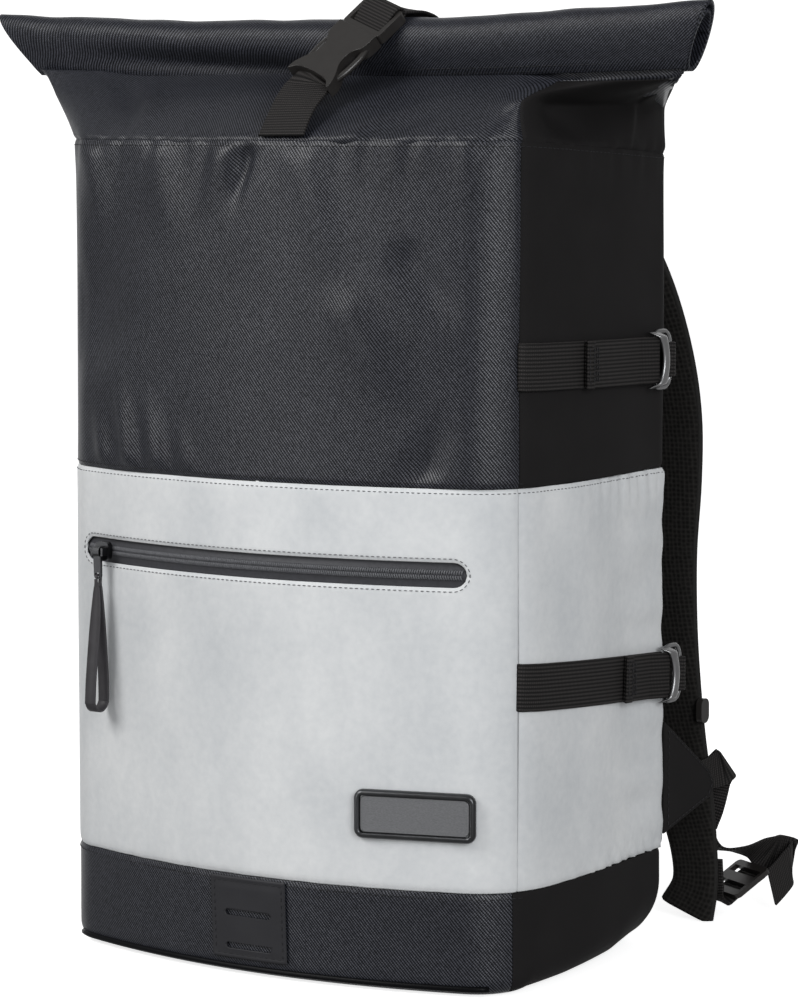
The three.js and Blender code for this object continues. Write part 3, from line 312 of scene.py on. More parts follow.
def half_outline(share, inset):
    if share <= FRONT_END:
        return CORNER_X * share / FRONT_END, inset - HALF_DEPTH
    if share <= CORNER_END:
        turn = math.pi / 2 * (share - FRONT_END) / (CORNER_END - FRONT_END)
        r = FRONT_CORNER - inset
        return CORNER_X + r * math.sin(turn), -CORNER_Y - r * math.cos(turn)
    if share <= SIDE_END:
        return HALF_WIDTH - inset, lerp(-CORNER_Y, BACK_Y, (share - CORNER_END) / (SIDE_END - CORNER_END))
    turn = math.pi / 2 * (share - SIDE_END) / (1 - SIDE_END)
    r = BACK_CORNER - inset
    return BACK_X + r * math.cos(turn), BACK_Y + r * math.sin(turn)


def front_swell(x, z):
    across = max(0, 1 - (x / HALF_WIDTH) ** 2)
    swell = table_at(FRONT_BULGE, z) * across
    for dent_x, dent_z, reach, depth in FRONT_DENTS:
        swell -= depth * across * bell(math.hypot(x - dent_x, z - dent_z), reach)
    return swell


def side_swell(y):
    ahead = y < SWELL_MIDDLE
    away = (y - SWELL_MIDDLE) / (SWELL_FRONT if ahead else SWELL_BACK)
    left = max(0, 1 - away * away)
    return SIDE_SWELL * (left if ahead else left * left)


def body_point(share, z, inset=0.0):
    """Point of the bag's wall at a signed share of its outline and a height, moved inward by the inset"""
    side = -1 if share < 0 else 1
    s = abs(share)
    px, py = half_outline(s, inset)
    y = py - front_swell(side * px, z) if s < CORNER_END else py
    x = px + side_swell(py) if s > FRONT_END else px
    narrow = 1 - edge_drop(z - inset, table_at(SIDE_EDGE, py) - inset) / HALF_WIDTH
    shallow = 1 - edge_drop(z - inset, FRONT_EDGE - inset) / (HALF_DEPTH + FRONT_BULGE[0][1]) if py < 0 else 1
    return Vector((side * x * narrow, y * shallow, z))


def seam_height(share):
    """Height of the seam under the collar: level along the front, falling along the sides"""
    return SEAM_Z - SEAM_FALL * clamp((abs(share) - SEAM_SHARE) / (SIDE_END - SEAM_SHARE))


def front_share(x):
    past = clamp(max(0, abs(x) - CORNER_X) / FRONT_CORNER)
    share = FRONT_END * min(1, abs(x) / CORNER_X)
    share += (CORNER_END - FRONT_END) * math.asin(past) / (math.pi / 2)
    return math.copysign(share, x)


def front_point(x, z, inset=0.0):
    return body_point(front_share(x), z, inset)


def side_share(y):
    return CORNER_END + (SIDE_END - CORNER_END) * (y + CORNER_Y) / (BACK_Y + CORNER_Y)


def share_length(share):
    """Length along the outline from the middle of the front, about right, with the sign of the share"""
    return math.copysign(table_at(SHARE_LENGTHS, abs(share)), share)


def length_share(length):
    return math.copysign(table_at(LENGTH_SHARES, abs(length)), length)


SEAM_LENGTH = share_length(SEAM_SHARE)


# Meshes
def finish_piece(obj, material, nodes=(), body="root"):
    obj.data.materials.append(material)
    obj.data.shade_smooth()
    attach(obj, body)
    if nodes:
        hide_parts(*nodes)
    return obj


def new_object(name, points, faces, uvs=None):
    """Object from points in millimetres, faces of point numbers and a UV place in metres per point"""
    mesh = bpy.data.meshes.new(name)
    mesh.from_pydata([Vector(p) * MM for p in points], [], faces)
    if uvs:
        layer = mesh.uv_layers.new(name="UVMap")
        for loop in mesh.loops:
            layer.data[loop.index].uv = uvs[loop.vertex_index]
    mesh.update()
    obj = bpy.data.objects.new(name, mesh)
    bpy.context.collection.objects.link(obj)
    return obj


def run_lengths(points):
    lengths = [0.0]
    for a, b in zip(points, points[1:]):
        lengths.append(lengths[-1] + (b - a).length * MM)
    return lengths


def grid(heights, places, point):
    """Rows of points, one row for each height"""
    return [[point(place, height) for place in places] for height in heights]


def grid_parts(rows, first=0, keep=None):
    """Points, faces and UV places of a sheet given as rows of points; keep tells which cells it has"""
    count = len(rows[0])
    across = run_lengths(rows[len(rows) // 2])
    along = run_lengths([row[count // 2] for row in rows])
    points = [p for row in rows for p in row]
    uvs = [(u, v) for v in along for u in across]
    faces = []
    for j in range(len(rows) - 1):
        for i in range(count - 1):
            a = first + j * count + i
            if keep is None or keep(j, i):
                faces.append((a, a + 1, a + count + 1, a + count))
    return points, faces, uvs


def cloth_sheet(name, grids, thick=CLOTH, offset=-1.0, keep=None):
    """One sheet of cloth from grids that meet, with thickness on its inner side"""
    points, faces, uvs = [], [], []
    for rows in grids:
        more_points, more_faces, more_uvs = grid_parts(rows, len(points), keep)
        points += more_points
        faces += more_faces
        uvs += more_uvs
    obj = new_object(name, points, faces, uvs)
    shaped = bmesh.new()
    shaped.from_mesh(obj.data)
    bmesh.ops.remove_doubles(shaped, verts=shaped.verts, dist=1e-6)
    bmesh.ops.delete(shaped, geom=[v for v in shaped.verts if not v.link_faces], context="VERTS")
    shaped.to_mesh(obj.data)
    shaped.free()
    wall = obj.modifiers.new("Thickness", "SOLIDIFY")
    wall.thickness = thick * MM
    wall.offset = offset
    return obj


def ring_loft(name, rings, closed=False, uv_rings=None):
    """Solid through rings of equal count; closed joins the last ring to the first"""
    count = len(rings[0])
    points = [p for ring in rings for p in ring]
    faces = []
    total = len(rings)
    for k in range(total if closed else total - 1):
        for i in range(count):
            a = k * count + i
            b = k * count + (i + 1) % count
            step = count if k < total - 1 else -k * count
            faces.append((a, b, b + step, a + step))
    if not closed:
        faces.append(tuple(reversed(range(count))))
        faces.append(tuple(range((total - 1) * count, total * count)))
    uvs = [uv for ring in uv_rings for uv in ring] if uv_rings else None
    obj = new_object(name, points, faces, uvs)
    shaped = bmesh.new()
    shaped.from_mesh(obj.data)
    bmesh.ops.recalc_face_normals(shaped, faces=shaped.faces)
    shaped.to_mesh(obj.data)
    shaped.free()
    return obj


def between(p0, p1, p2, p3, t):
    """Smooth curve from p1 to p2 with p0 and p3 beyond them"""
    return 0.5 * (
        2 * p1
        + (p2 - p0) * t
        + (2 * p0 - 5 * p1 + 4 * p2 - p3) * t * t
        + (3 * p1 - p0 - 3 * p2 + p3) * t * t * t
    )


def smooth_rows(rows, count):
    """Rows of numbers drawn out to count steps per stretch on a smooth curve"""
    ends = [rows[0], *rows, rows[-1]]
    made = []
    for k in range(len(rows) - 1):
        for i in range(count):
            quad = ends[k:k + 4]
            made.append([between(*[row[c] for row in quad], i / count) for c in range(len(rows[0]))])
    made.append(list(rows[-1]))
    return made


def strip_frames(rows, folds=None):
    """Middle, across and out directions along rows of x, y, z and the direction of width"""
    places = [Vector(row[:3]) for row in rows]
    made = []
    for k, row in enumerate(rows):
        along = (places[min(k + 1, len(rows) - 1)] - places[max(k - 1, 0)]).normalized()
        across = Vector(row[3:6]).normalized()
        square = 1 - (clamp(folds[k]) if folds else 0)
        across = (across - along * across.dot(along) * square).normalized()
        made.append((places[k], across, along.cross(across).normalized()))
    return made


def webbing(name, rows, width=WEB_WIDTH, thick=WEB_THICK, steps=6):
    """Flat strap of woven webbing with soft edges along rows of places, wider along a slanting fold"""
    rows = smooth_rows(rows, steps) if steps > 1 else rows
    half = width / 2
    h = thick / 2
    edge = [(-half, 0), (-half + 0.35, -0.8 * h), (-half + 1.1, -h)]
    section = [*edge, *[(-a, b) for a, b in reversed(edge)], *[(-a, -b) for a, b in edge[1:]]]
    section += [(a, -b) for a, b in reversed(edge[1:])]
    folds = [clamp(row[6]) if len(row) > 6 else 0 for row in rows]
    sizes = [row[7] / width if len(row) > 7 else 1 for row in rows]
    frames = strip_frames(rows, folds)
    along = run_lengths([f[0] for f in frames])
    rings = []
    for (p, across, out), fold, size in zip(frames, folds, sizes):
        slant = lerp(1, math.sqrt(2), fold) * size
        rings.append([p + across * a * slant + out * b for a, b in section])
    uv_rings = [[((a + half) * MM, length) for a, _ in section] for length in along]
    return ring_loft(name, rings, uv_rings=uv_rings)


def tube(name, points, radius, sides=8, closed=False):
    """Round cord through points"""
    rings = []
    total = len(points)
    turned = None
    for k, p in enumerate(points):
        after = points[(k + 1) % total] if closed else points[min(k + 1, total - 1)]
        before = points[k - 1] if closed else points[max(k - 1, 0)]
        along = (after - before).normalized()
        if turned is None:
            turned = along.orthogonal()
        turned = (turned - along * turned.dot(along)).normalized()
        other = along.cross(turned)
        round_it = [turned * math.cos(t) + other * math.sin(t) for t in circle_turns(sides)]
        rings.append([p + way * radius for way in round_it])
    return ring_loft(name, rings, closed)


def stitches(name, lines, length=2.6, gap=1.3, radius=0.28, lift=0.12):
    """Row of short thread pieces along each line of points with their outward directions"""
    points, faces = [], []
    for line in lines:
        run = run_lengths([p for p, _ in line])
        place = 0.5 * gap * MM
        k = 0
        while place + length * MM < run[-1]:
            ends = []
            for at in (place, place + length * MM):
                while run[k + 1] < at:
                    k += 1
                t = (at - run[k]) / max(1e-9, run[k + 1] - run[k])
                way = line[k][1].lerp(line[k + 1][1], t).normalized()
                ends.append((line[k][0].lerp(line[k + 1][0], t), way))
            (a, out), (b, _) = ends
            side = (b - a).normalized().cross(out)
            first = len(points)
            for p, drop in ((a, 0.5), (a.lerp(b, 0.25), 0), (a.lerp(b, 0.75), 0), (b, 0.5)):
                middle = p + out * (lift - drop * radius)
                size = radius * (0.55 if drop else 1)
                for turn in (0.25, 0.75, 1.25, 1.75):
                    angle = turn * math.pi
                    points.append(middle + side * (size * math.cos(angle)) + out * (size * math.sin(angle)))
            for ring in range(3):
                for i in range(4):
                    c = first + ring * 4 + i
                    d = first + ring * 4 + (i + 1) % 4
                    faces.append((c, d, d + 4, c + 4))
            faces.append((first + 3, first + 2, first + 1, first))
            faces.append((first + 12, first + 13, first + 14, first + 15))
            place += (length + gap) * MM
    return new_object(name, points, faces)


def bevelled(obj, width, segments=2, angle=35):
    edge = obj.modifiers.new("Edges", "BEVEL")
    edge.width = width * MM
    edge.segments = segments
    edge.limit_method = "ANGLE"
    edge.angle_limit = math.radians(angle)
    edge.harden_normals = True
    return obj


def copy_of(node, name, bevel=0.3):
    """Bevelled copy of a hard piece of the frame"""
    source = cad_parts[node]
    obj = bpy.data.objects.new(name, source.data.copy())
    obj.data.materials.clear()
    bpy.context.collection.objects.link(obj)
    return bevelled(obj, bevel)


def slab(name, outline, depth, place, bevel, holes=()):
    """Flat plate from an outline of x and y, standing up along z, set down by a matrix in millimetres"""
    curve = bpy.data.curves.new(name, "CURVE")
    curve.dimensions = "2D"
    curve.fill_mode = "BOTH"
    curve.extrude = depth / 2 * MM
    for ring in (outline, *holes):
        spline = curve.splines.new("POLY")
        spline.points.add(len(ring) - 1)
        for point, (x, y) in zip(spline.points, ring):
            point.co = (x * MM, y * MM, 0, 1)
        spline.use_cyclic_u = True
    drawn = bpy.data.objects.new(name, curve)
    mesh = bpy.data.meshes.new_from_object(drawn)
    bpy.data.objects.remove(drawn)
    bpy.data.curves.remove(curve)
    shaped = bmesh.new()
    shaped.from_mesh(mesh)
    bmesh.ops.remove_doubles(shaped, verts=shaped.verts, dist=1e-6)
    shaped.transform(Matrix.Translation((0, 0, depth / 2 * MM)))
    moved = place.copy()
    moved.translation = moved.translation * MM
    shaped.transform(moved)
    bmesh.ops.recalc_face_normals(shaped, faces=shaped.faces)
    shaped.to_mesh(mesh)
    shaped.free()
    obj = bpy.data.objects.new(name, mesh)
    bpy.context.collection.objects.link(obj)
    return bevelled(obj, bevel) if bevel else obj


def basis(x, y, z, place):
    return Matrix.Translation(place) @ Matrix((x, y, z)).transposed().to_4x4()


def rounded_rectangle(width, height, radius, count=6):
    ring = []
    for k, (cx, cy) in enumerate(((1, -1), (1, 1), (-1, 1), (-1, -1))):
        for i in range(count + 1):
            turn = math.pi / 2 * (k - 1 + i / count)
            ring.append((cx * (width / 2 - radius) + radius * math.cos(turn),
                         cy * (height / 2 - radius) + radius * math.sin(turn)))
    return ring


def sided(rows, side):
    """Rows for the right side, mirrored where the side is the left one"""
    if side > 0:
        return rows
    return [(-row[0], row[1], row[2], -row[3], *row[4:]) for row in rows]


# Materials
WAVE_SCALE = 0.31416


class Look:
    """Material with its shader and short ways to add nodes"""

    def __init__(self, name, roughness, gloss=0.5, metallic=0.0):
        self.material = bpy.data.materials.new(name)
        self.material.use_nodes = True
        self.tree = self.material.node_tree
        self.shader = self.tree.nodes["Principled BSDF"]
        self.shader.inputs["Roughness"].default_value = roughness
        self.shader.inputs["Metallic"].default_value = metallic
        self.shader.inputs["Specular IOR Level"].default_value = gloss
        self.height = None

    def node(self, kind, **sockets):
        made = self.tree.nodes.new(kind)
        for key, value in sockets.items():
            made.inputs[key].default_value = value
        return made

    def link(self, source, target):
        self.tree.links.new(source, target)

    def uv(self, turn=0.0, scale=(1, 1, 1)):
        place = self.node("ShaderNodeUVMap")
        place.uv_map = "UVMap"
        moved = self.node("ShaderNodeMapping", Rotation=(0, 0, math.radians(turn)), Scale=scale)
        self.link(place.outputs["UV"], moved.inputs["Vector"])
        return moved.outputs["Vector"]

    def here(self, scale=(1, 1, 1)):
        place = self.node("ShaderNodeTexCoord")
        moved = self.node("ShaderNodeMapping", Scale=scale)
        self.link(place.outputs["Object"], moved.inputs["Vector"])
        return moved.outputs["Vector"]

    def ribs(self, vector, pitch_mm, direction="X", distortion=0.0):
        wave = self.node("ShaderNodeTexWave", Scale=WAVE_SCALE / (pitch_mm * MM), Distortion=distortion)
        wave.bands_direction = direction
        self.link(vector, wave.inputs["Vector"])
        return wave.outputs["Fac"]

    def noise(self, vector, size_mm, detail=3.0):
        cloud = self.node("ShaderNodeTexNoise", Scale=1 / (size_mm * MM), Detail=detail)
        self.link(vector, cloud.inputs["Vector"])
        return cloud.outputs["Fac"]

    def maths(self, operation, a, b):
        made = self.node("ShaderNodeMath")
        made.operation = operation
        for socket, value in zip(made.inputs, (a, b)):
            if isinstance(value, (int, float)):
                socket.default_value = value
            else:
                self.link(value, socket)
        return made.outputs["Value"]

    def scaled(self, value, slope, start):
        return self.maths("ADD", start, self.maths("MULTIPLY", value, slope))

    def plain_weave(self, pitch_mm):
        return self.maths("MULTIPLY", self.ribs(self.uv(), pitch_mm), self.ribs(self.uv(), pitch_mm, "Y"))

    def colours(self, factor, dark, light):
        mix = self.node("ShaderNodeMix")
        mix.data_type = "RGBA"
        mix.inputs[6].default_value = (*dark, 1)
        mix.inputs[7].default_value = (*light, 1)
        self.link(factor, mix.inputs["Factor"])
        self.link(mix.outputs[2], self.shader.inputs["Base Color"])

    def bump(self, height, strength, distance_mm):
        made = self.node("ShaderNodeBump", Strength=strength, Distance=distance_mm * MM)
        self.link(height, made.inputs["Height"])
        if self.height is not None:
            self.link(self.height, made.inputs["Normal"])
        self.height = made.outputs["Normal"]
        self.link(self.height, self.shader.inputs["Normal"])

    def sheen(self, weight, tint):
        self.shader.inputs["Sheen Weight"].default_value = weight
        self.shader.inputs["Sheen Roughness"].default_value = 0.45
        self.shader.inputs["Sheen Tint"].default_value = (*tint, 1)


def twill_look(name, gloss):
    look = Look(name, 0.4)
    ribs = look.ribs(look.uv(turn=-40), 1.4, distortion=0.8)
    yarn = look.ribs(look.uv(turn=48), 1.1, distortion=0.5)
    weave = look.maths("MULTIPLY", ribs, look.scaled(yarn, 0.5, 0.5))
    cloud = look.scaled(look.noise(look.here(), 45, 2), 0.5, 0.75)
    grain = look.scaled(look.noise(look.here(), 1.8, 2), 1.6, 0.2)
    shade = look.maths("MULTIPLY", look.maths("MULTIPLY", weave, cloud), grain)
    look.colours(shade, (0.0018, 0.0019, 0.0026), (0.049, 0.052, 0.068))
    look.link(look.scaled(shade, gloss, 0.1), look.shader.inputs["Specular IOR Level"])
    look.bump(weave, 0.35, 0.3)
    look.sheen(0.03, (0.8, 0.87, 1.0))
    return look.material


def plain_cloth_look():
    look = Look("smooth_cloth", 0.75, 0.12)
    look.colours(look.noise(look.here(), 30), (0.0104, 0.0096, 0.0098), (0.0156, 0.0146, 0.0149))
    look.bump(look.plain_weave(0.6), 0.25, 0.15)
    return look.material


def silver_look():
    look = Look("silver_cloth", 0.5, 0.35)
    fine = look.maths("MULTIPLY", look.noise(look.here(), 4, 3), 0.6)
    broad = look.maths("MULTIPLY", look.noise(look.here((1, 1, 0.6)), 46, 3), 1.5)
    cloud = look.maths("ADD", look.maths("ADD", broad, fine), -0.55)
    look.colours(cloud, (0.57, 0.592, 0.612), (0.785, 0.795, 0.8))
    look.bump(look.plain_weave(0.7), 0.12, 0.1)
    look.bump(look.noise(look.here(), 7, 4), 0.10, 0.5)
    return look.material


def webbing_look(name, strong, strong_way, weak, weak_way):
    """Woven strap: strong ribs one way at a pitch in millimetres, weaker ones the other way"""
    look = Look(name, 0.7, 0.2)
    between_ribs = look.scaled(look.ribs(look.uv(), weak, weak_way), 0.5, 0.5)
    weave = look.maths("MULTIPLY", look.ribs(look.uv(), strong, strong_way), between_ribs)
    look.colours(weave, (0.005, 0.0047, 0.0047), (0.044, 0.040, 0.039))
    look.bump(weave, 0.8, 0.5)
    return look.material


def mesh_look():
    look = Look("padded_mesh", 0.9, 0.1)
    cells = look.node("ShaderNodeTexVoronoi", Scale=1 / (2.6 * MM), Randomness=0.25)
    look.link(look.uv(), cells.inputs["Vector"])
    look.colours(cells.outputs["Distance"], (0.0034, 0.0032, 0.003), (0.034, 0.032, 0.03))
    look.bump(cells.outputs["Distance"], 0.8, 0.8)
    return look.material


def brushed_look():
    look = Look("brushed_plate", 0.42, metallic=0.9)
    lines = look.noise(look.here((0.03, 1, 1)), 0.35, 4)
    look.colours(lines, (0.18, 0.182, 0.192), (0.38, 0.385, 0.4))
    look.bump(lines, 0.12, 0.05)
    return look.material


def grained_look(name, dark, light, clouds, grain, *surface):
    """Clouds of two colours, by size and detail, over a grain, by size, detail, strength and depth"""
    look = Look(name, *surface)
    look.colours(look.noise(look.here(), *clouds), dark, light)
    if grain:
        look.bump(look.noise(look.here(), *grain[:2]), *grain[2:])
    return look.material


def metal_look(name, dark, light, roughness):
    return grained_look(name, dark, light, (6, 4), (0.5, 3, 0.06, 0.05), roughness, 0.5, 1.0)


def thread_look(name, dark, light):
    return grained_look(name, dark, light, (3, 3), None, 0.6, 0.2)


def zip_look(name, dark, light):
    return grained_look(name, dark, light, (2, 3), (0.6, 2, 0.3, 0.15), 0.5, 0.35)


def floor_look():
    look = Look("pale_floor", 0.9, 0.0)
    look.colours(look.noise(look.here(), 400, 1), (0.84, 0.84, 0.84), (0.86, 0.86, 0.86))
    look.shader.inputs["Emission Color"].default_value = (1, 1, 1, 1)
    look.shader.inputs["Emission Strength"].default_value = 0.76
    return look.material


TWILL = twill_look("twill", 0.75)
ROLL_TWILL = twill_look("roll_twill", 0.35)
SMOOTH_CLOTH = plain_cloth_look()
SILVER = silver_look()
WEBBING = webbing_look("webbing", 2.0, "X", 1.3, "Y")
FINE_WEBBING = webbing_look("fine_webbing", 1.7, "Y", 1.3, "X")
PADDED_MESH = mesh_look()
BINDING = grained_look(
    "binding", (0.009, 0.0085, 0.008), (0.022, 0.021, 0.02), (1.2, 3), (1.2, 3, 0.35, 0.25), 0.7, 0.2)
COATED = grained_look(
    "coated_patch", (0.02, 0.02, 0.023), (0.031, 0.031, 0.035), (18, 3), (1.0, 4, 0.15, 0.2), 0.5, 0.25)
THREAD = thread_look("thread", (0.014, 0.014, 0.016), (0.035, 0.035, 0.038))
GREY_THREAD = thread_look("grey_thread", (0.09, 0.092, 0.1), (0.17, 0.173, 0.18))
HOOK_METAL = metal_look("hook_metal", (0.27, 0.27, 0.274), (0.42, 0.42, 0.425), 0.36)
GUNMETAL = metal_look("gunmetal", (0.06, 0.061, 0.064), (0.1, 0.102, 0.106), 0.32)
BRUSHED = brushed_look()
PLASTIC = grained_look(
    "satin_plastic", (0.02, 0.0182, 0.017), (0.029, 0.0265, 0.025), (5, 3), (0.4, 2, 0.08, 0.05), 0.3)
ZIP_GREY = zip_look("zip_tape", (0.028, 0.0285, 0.033), (0.06, 0.061, 0.069))
COIL_GREY = zip_look("zip_coil", (0.085, 0.087, 0.095), (0.16, 0.163, 0.175))
LEATHER_GREY = grained_look(
    "leather_grey", (0.03, 0.0285, 0.031), (0.055, 0.052, 0.057), (6, 3), (0.9, 5, 0.25, 0.2), 0.5, 0.3)


# Cloth panels of the body
def fold_lift(x, z, folds):
    """Lift of all folds at a place, each fading towards its end"""
    lift = 0.0
    for x0, z0, x1, z1, half, height in folds:
        run = Vector((x1 - x0, z1 - z0))
        t = clamp(Vector((x - x0, z - z0)).dot(run) / run.length_squared)
        far = math.hypot(x - x0 - run.x * t, z - z0 - run.y * t)
        lift += height * smooth((1 - t) / FOLD_FADE) * bell(far, half)
    return lift


def seam_dip(distance, depth=0.9, reach=1.7):
    return depth * bell(distance, reach)


def pucker(along, distance, kind):
    """Small gathers beside a seam, fading with the distance from it"""
    size, reach, pitch = GATHERS[kind]
    return size * bell(distance, reach) * ripple(2 * math.pi * along / pitch, distance / 9, 1.3)


def billow(along, z, kind):
    size, pitch, rise, seed = WAVES[kind]
    return size * ripple(along / pitch, z / rise, seed)


def wall_lift(share, z, low, high):
    """How far the cloth of a panel stands off the plain wall between two seams"""
    along = share_length(share)
    to_seam = abs(abs(along) - SEAM_LENGTH)
    on_front = abs(along) < SEAM_LENGTH
    upper = low >= SILVER_TOP
    lift = -seam_dip(z - low) - seam_dip(high - z, 0.9 if upper else 1.2) - seam_dip(to_seam)
    if upper and on_front:
        held = smooth((z - low) / FOLD_HOLD) * smooth((high - z) / FOLD_HOLD)
        held *= smooth(to_seam / FOLD_SIDE_HOLD)
        lift += held * fold_lift(along, z, FRONT_FOLDS)
        lift += billow(along, z, "front") + pucker(along, high - z, "front")
    elif upper:
        lift += billow(along, z, "side") + pucker(along, high - z, "side")
    else:
        lift += billow(along, z, "silver")
        lift += pucker(along, high - z, "silver_top") + pucker(along, z - low, "silver_low")
        if not on_front:
            back = smooth((abs(along) - 180) / 70)
            lift += back * pucker(along, high - z, "back_top")
            lift += back * pucker(along + 0.6 * z, z - low, "back_low")
            lift += 1.3 * bell(abs(along) - 275, 26) * ripple(z / 5, along / 14, 0.5)
            lift += billow(along, z, "silver_side")
    return lift


def wall_point(share, z, low, high, extra=0.0):
    return body_point(share, z, -wall_lift(share, z, low, high) - extra)


def upper_seam(share, high):
    return seam_height(share) if high == SEAM_Z else high


def wall_rows(lengths, heights, low, high, side=1):
    """Rows of a panel between two seams; the seam under the collar falls along the sides"""
    def point(w, z):
        share = side * length_share(w)
        top = upper_seam(share, high)
        return wall_point(share, lerp(low, top, (z - low) / (high - low)), low, top)

    return grid(heights, lengths, point)


def make_walls():
    front = graded(-SEAM_LENGTH + 0.2, SEAM_LENGTH - 0.2, 3.2)
    side = graded(SEAM_LENGTH + 0.2, OUTLINE_LENGTH, 3.2)
    upper = graded(SILVER_TOP + SEW_GAP, SEAM_Z - SEW_GAP, 3.2)
    lower = graded(BAND_TOP + SEW_GAP, SILVER_TOP - SEW_GAP, 3.4)

    piece = cloth_sheet("front_upper_cloth", [wall_rows(front, upper, SILVER_TOP, SEAM_Z)])
    finish_piece(piece, TWILL, ["front_upper"])

    piece = cloth_sheet("front_lower_cloth", zip_panel_grids())
    finish_piece(piece, SILVER, ["front_lower"])

    for name, way in SIDES:
        lengths = side if way > 0 else list(reversed(side))
        rows = wall_rows(lengths, upper, SILVER_TOP, SEAM_Z, way)
        piece = cloth_sheet(f"side_upper_cloth_{name}", [rows])
        finish_piece(piece, SMOOTH_CLOTH, [f"side_upper_{name}"])
        rows = wall_rows(lengths, lower, BAND_TOP, SILVER_TOP, way)
        piece = cloth_sheet(f"side_lower_cloth_{name}", [rows])
        finish_piece(piece, SILVER, [f"side_lower_{name}"])


def slot_half(along):
    """Half height of the zip slot at a length along the front"""
    past = abs(along) * CORNER_X / FRONT_LENGTH - (ZIP_HALF - ZIP_RADIUS)
    if past <= 0:
        return ZIP_RADIUS
    return math.sqrt(max(0, ZIP_RADIUS ** 2 - past ** 2))


def zip_panel_grids():
    """Silver front as two grids that meet past the ends of the zip's slot"""
    ends = [
        (ZIP_HALF - ZIP_RADIUS * k) * FRONT_LENGTH / CORNER_X for k in (0, 0.04, 0.12, 0.25, 0.45, 0.7, 1)
    ]
    half = [*graded(SEAM_LENGTH - 0.2, ends[0] + 1.5, 3.2), *ends]
    inner = spread(-ends[-1], ends[-1], 68)[1:-1]
    lengths = [*[-w for w in half], *inner, *reversed(half)]

    def point(w, t, way):
        edge = ZIP_Z + way * slot_half(w)
        z = lerp(edge, SILVER_TOP - SEW_GAP, t) if way > 0 else lerp(BAND_TOP + SEW_GAP, edge, t)
        hem = seam_dip(abs(z - edge), 0.9, 1.3) * smooth((ends[0] + 3 - abs(w)) / 3)
        return wall_point(length_share(w), z, BAND_TOP, SILVER_TOP, -hem)

    below = graded(0, 1, 0.022, (0.004, 0.01, 0.018, 0.028))
    above = graded(0, 1, 0.07, (0.012, 0.03, 0.055, 0.09))
    return [
        grid(below, lengths, lambda w, t: point(w, t, -1)),
        grid(above, lengths, lambda w, t: point(w, t, 1)),
    ]


make_walls()


# Base with its piping, and the patch
def base_rows(lengths):
    """Band of the base from its seam down and on under the bag, where it runs to the back edge"""
    top = BAND_TOP - SEW_GAP
    heights = [top - h for h in (0, 0.5, 1.1, 1.9, 3, 4.5)]
    heights += spread(top - 7, 12, 12) + [10, 8, 6, 4.4, 3, 1.8, 0.8, 0.2, 0]

    def point(w, z):
        lift = -seam_dip(top - z, 0.7) + smooth(z / 14) * 0.4 * ripple(w / 19, z / 15, 0.7)
        return body_point(length_share(w), z, -lift)

    rows = grid(heights, lengths, point)
    foot = rows[-1]
    for keep in (0.8, 0.6, 0.4, 0.2, 0):
        rows.append([Vector((p.x * keep, lerp(HALF_DEPTH, p.y, keep), 0)) for p in foot])
    return rows


def make_base():
    cornered = SEAM_LENGTH - 3
    front = list(reversed(graded(-cornered, cornered, 3.4)))
    piece = cloth_sheet("base_front", [base_rows(front)], BASE_CLOTH)
    finish_piece(piece, TWILL, ["base_tray"])
    side = graded(cornered + 0.3, OUTLINE_LENGTH, 3.4)
    for name, way in SIDES:
        lengths = list(reversed(side)) if way > 0 else [-w for w in side]
        piece = cloth_sheet(f"base_side_{name}", [base_rows(lengths)], BASE_CLOTH)
        finish_piece(piece, SMOOTH_CLOTH, ["base_tray"])
    line = [front_point(x, 4.2, -0.4) for x in spread(-132, 132, 80)]
    piece = tube("base_piping", line, 1.7, 10)
    finish_piece(piece, TWILL, ["base_tray"])


def patch_point(x, z):
    border = min(PATCH["half"] - abs(x), z - PATCH["bottom"], PATCH["top"] - z)
    return front_point(x, z, -1.75 + 0.45 * bell(border - PATCH_HEM, 0.8) + 0.5 * bell(border, 0.5))


def make_patch():
    edges = (0.4, 1.0, 1.8, 2.8)
    xs = graded(-PATCH["half"], PATCH["half"], 2.4, edges)
    zs = graded(PATCH["bottom"], PATCH["top"], 2.0, edges)
    piece = cloth_sheet("base_patch_cloth", [grid(zs, xs, patch_point)], 1.3)
    finish_piece(piece, COATED, ["base_patch"])
    tools = []
    for k, z in enumerate(PATCH["slots"]):
        at = basis(X_WAY, Z_WAY, -Y_WAY, Vector((0, -106, z)))
        ring = rounded_rectangle(2 * PATCH["slot"], 2 * PATCH["slot_radius"], 1.6)
        tools.append(slab(f"slot_{k}", ring, 12, at, 0))
        cut = piece.modifiers.new(f"Slot {k}", "BOOLEAN")
        cut.operation = "DIFFERENCE"
        cut.object = tools[-1]
        cut.solver = "EXACT"
    bpy.context.view_layer.update()
    shown = bpy.data.meshes.new_from_object(piece.evaluated_get(bpy.context.evaluated_depsgraph_get()))
    piece.modifiers.clear()
    piece.data = shown
    for tool in tools:
        bpy.data.objects.remove(tool)
    half = PATCH["half"] - PATCH_HEM
    low = PATCH["bottom"] + PATCH_HEM
    high = PATCH["top"] - PATCH_HEM
    corners = [(-half, low), (half, low), (half, high), (-half, high), (-half, low)]
    line = []
    for (x0, z0), (x1, z1) in zip(corners, corners[1:]):
        for t in spread(0, 1, 14)[:-1]:
            line.append((front_point(lerp(x0, x1, t), lerp(z0, z1, t), -1.35), -Y_WAY))
    line.append(line[0])
    finish_piece(stitches("patch_stitches", [line]), THREAD)


make_base()
make_patch()


# Collar and rolled mouth
def mouth_outline(share, inset):
    s = abs(share)
    side = -1 if share < 0 else 1
    if s <= WRAP_SHARE:
        return body_point(side * s / WRAP_SHARE, SEAM_Z, inset)
    return Vector((side * BACK_X * (1 - s) / (1 - WRAP_SHARE), HALF_DEPTH - inset, SEAM_Z))


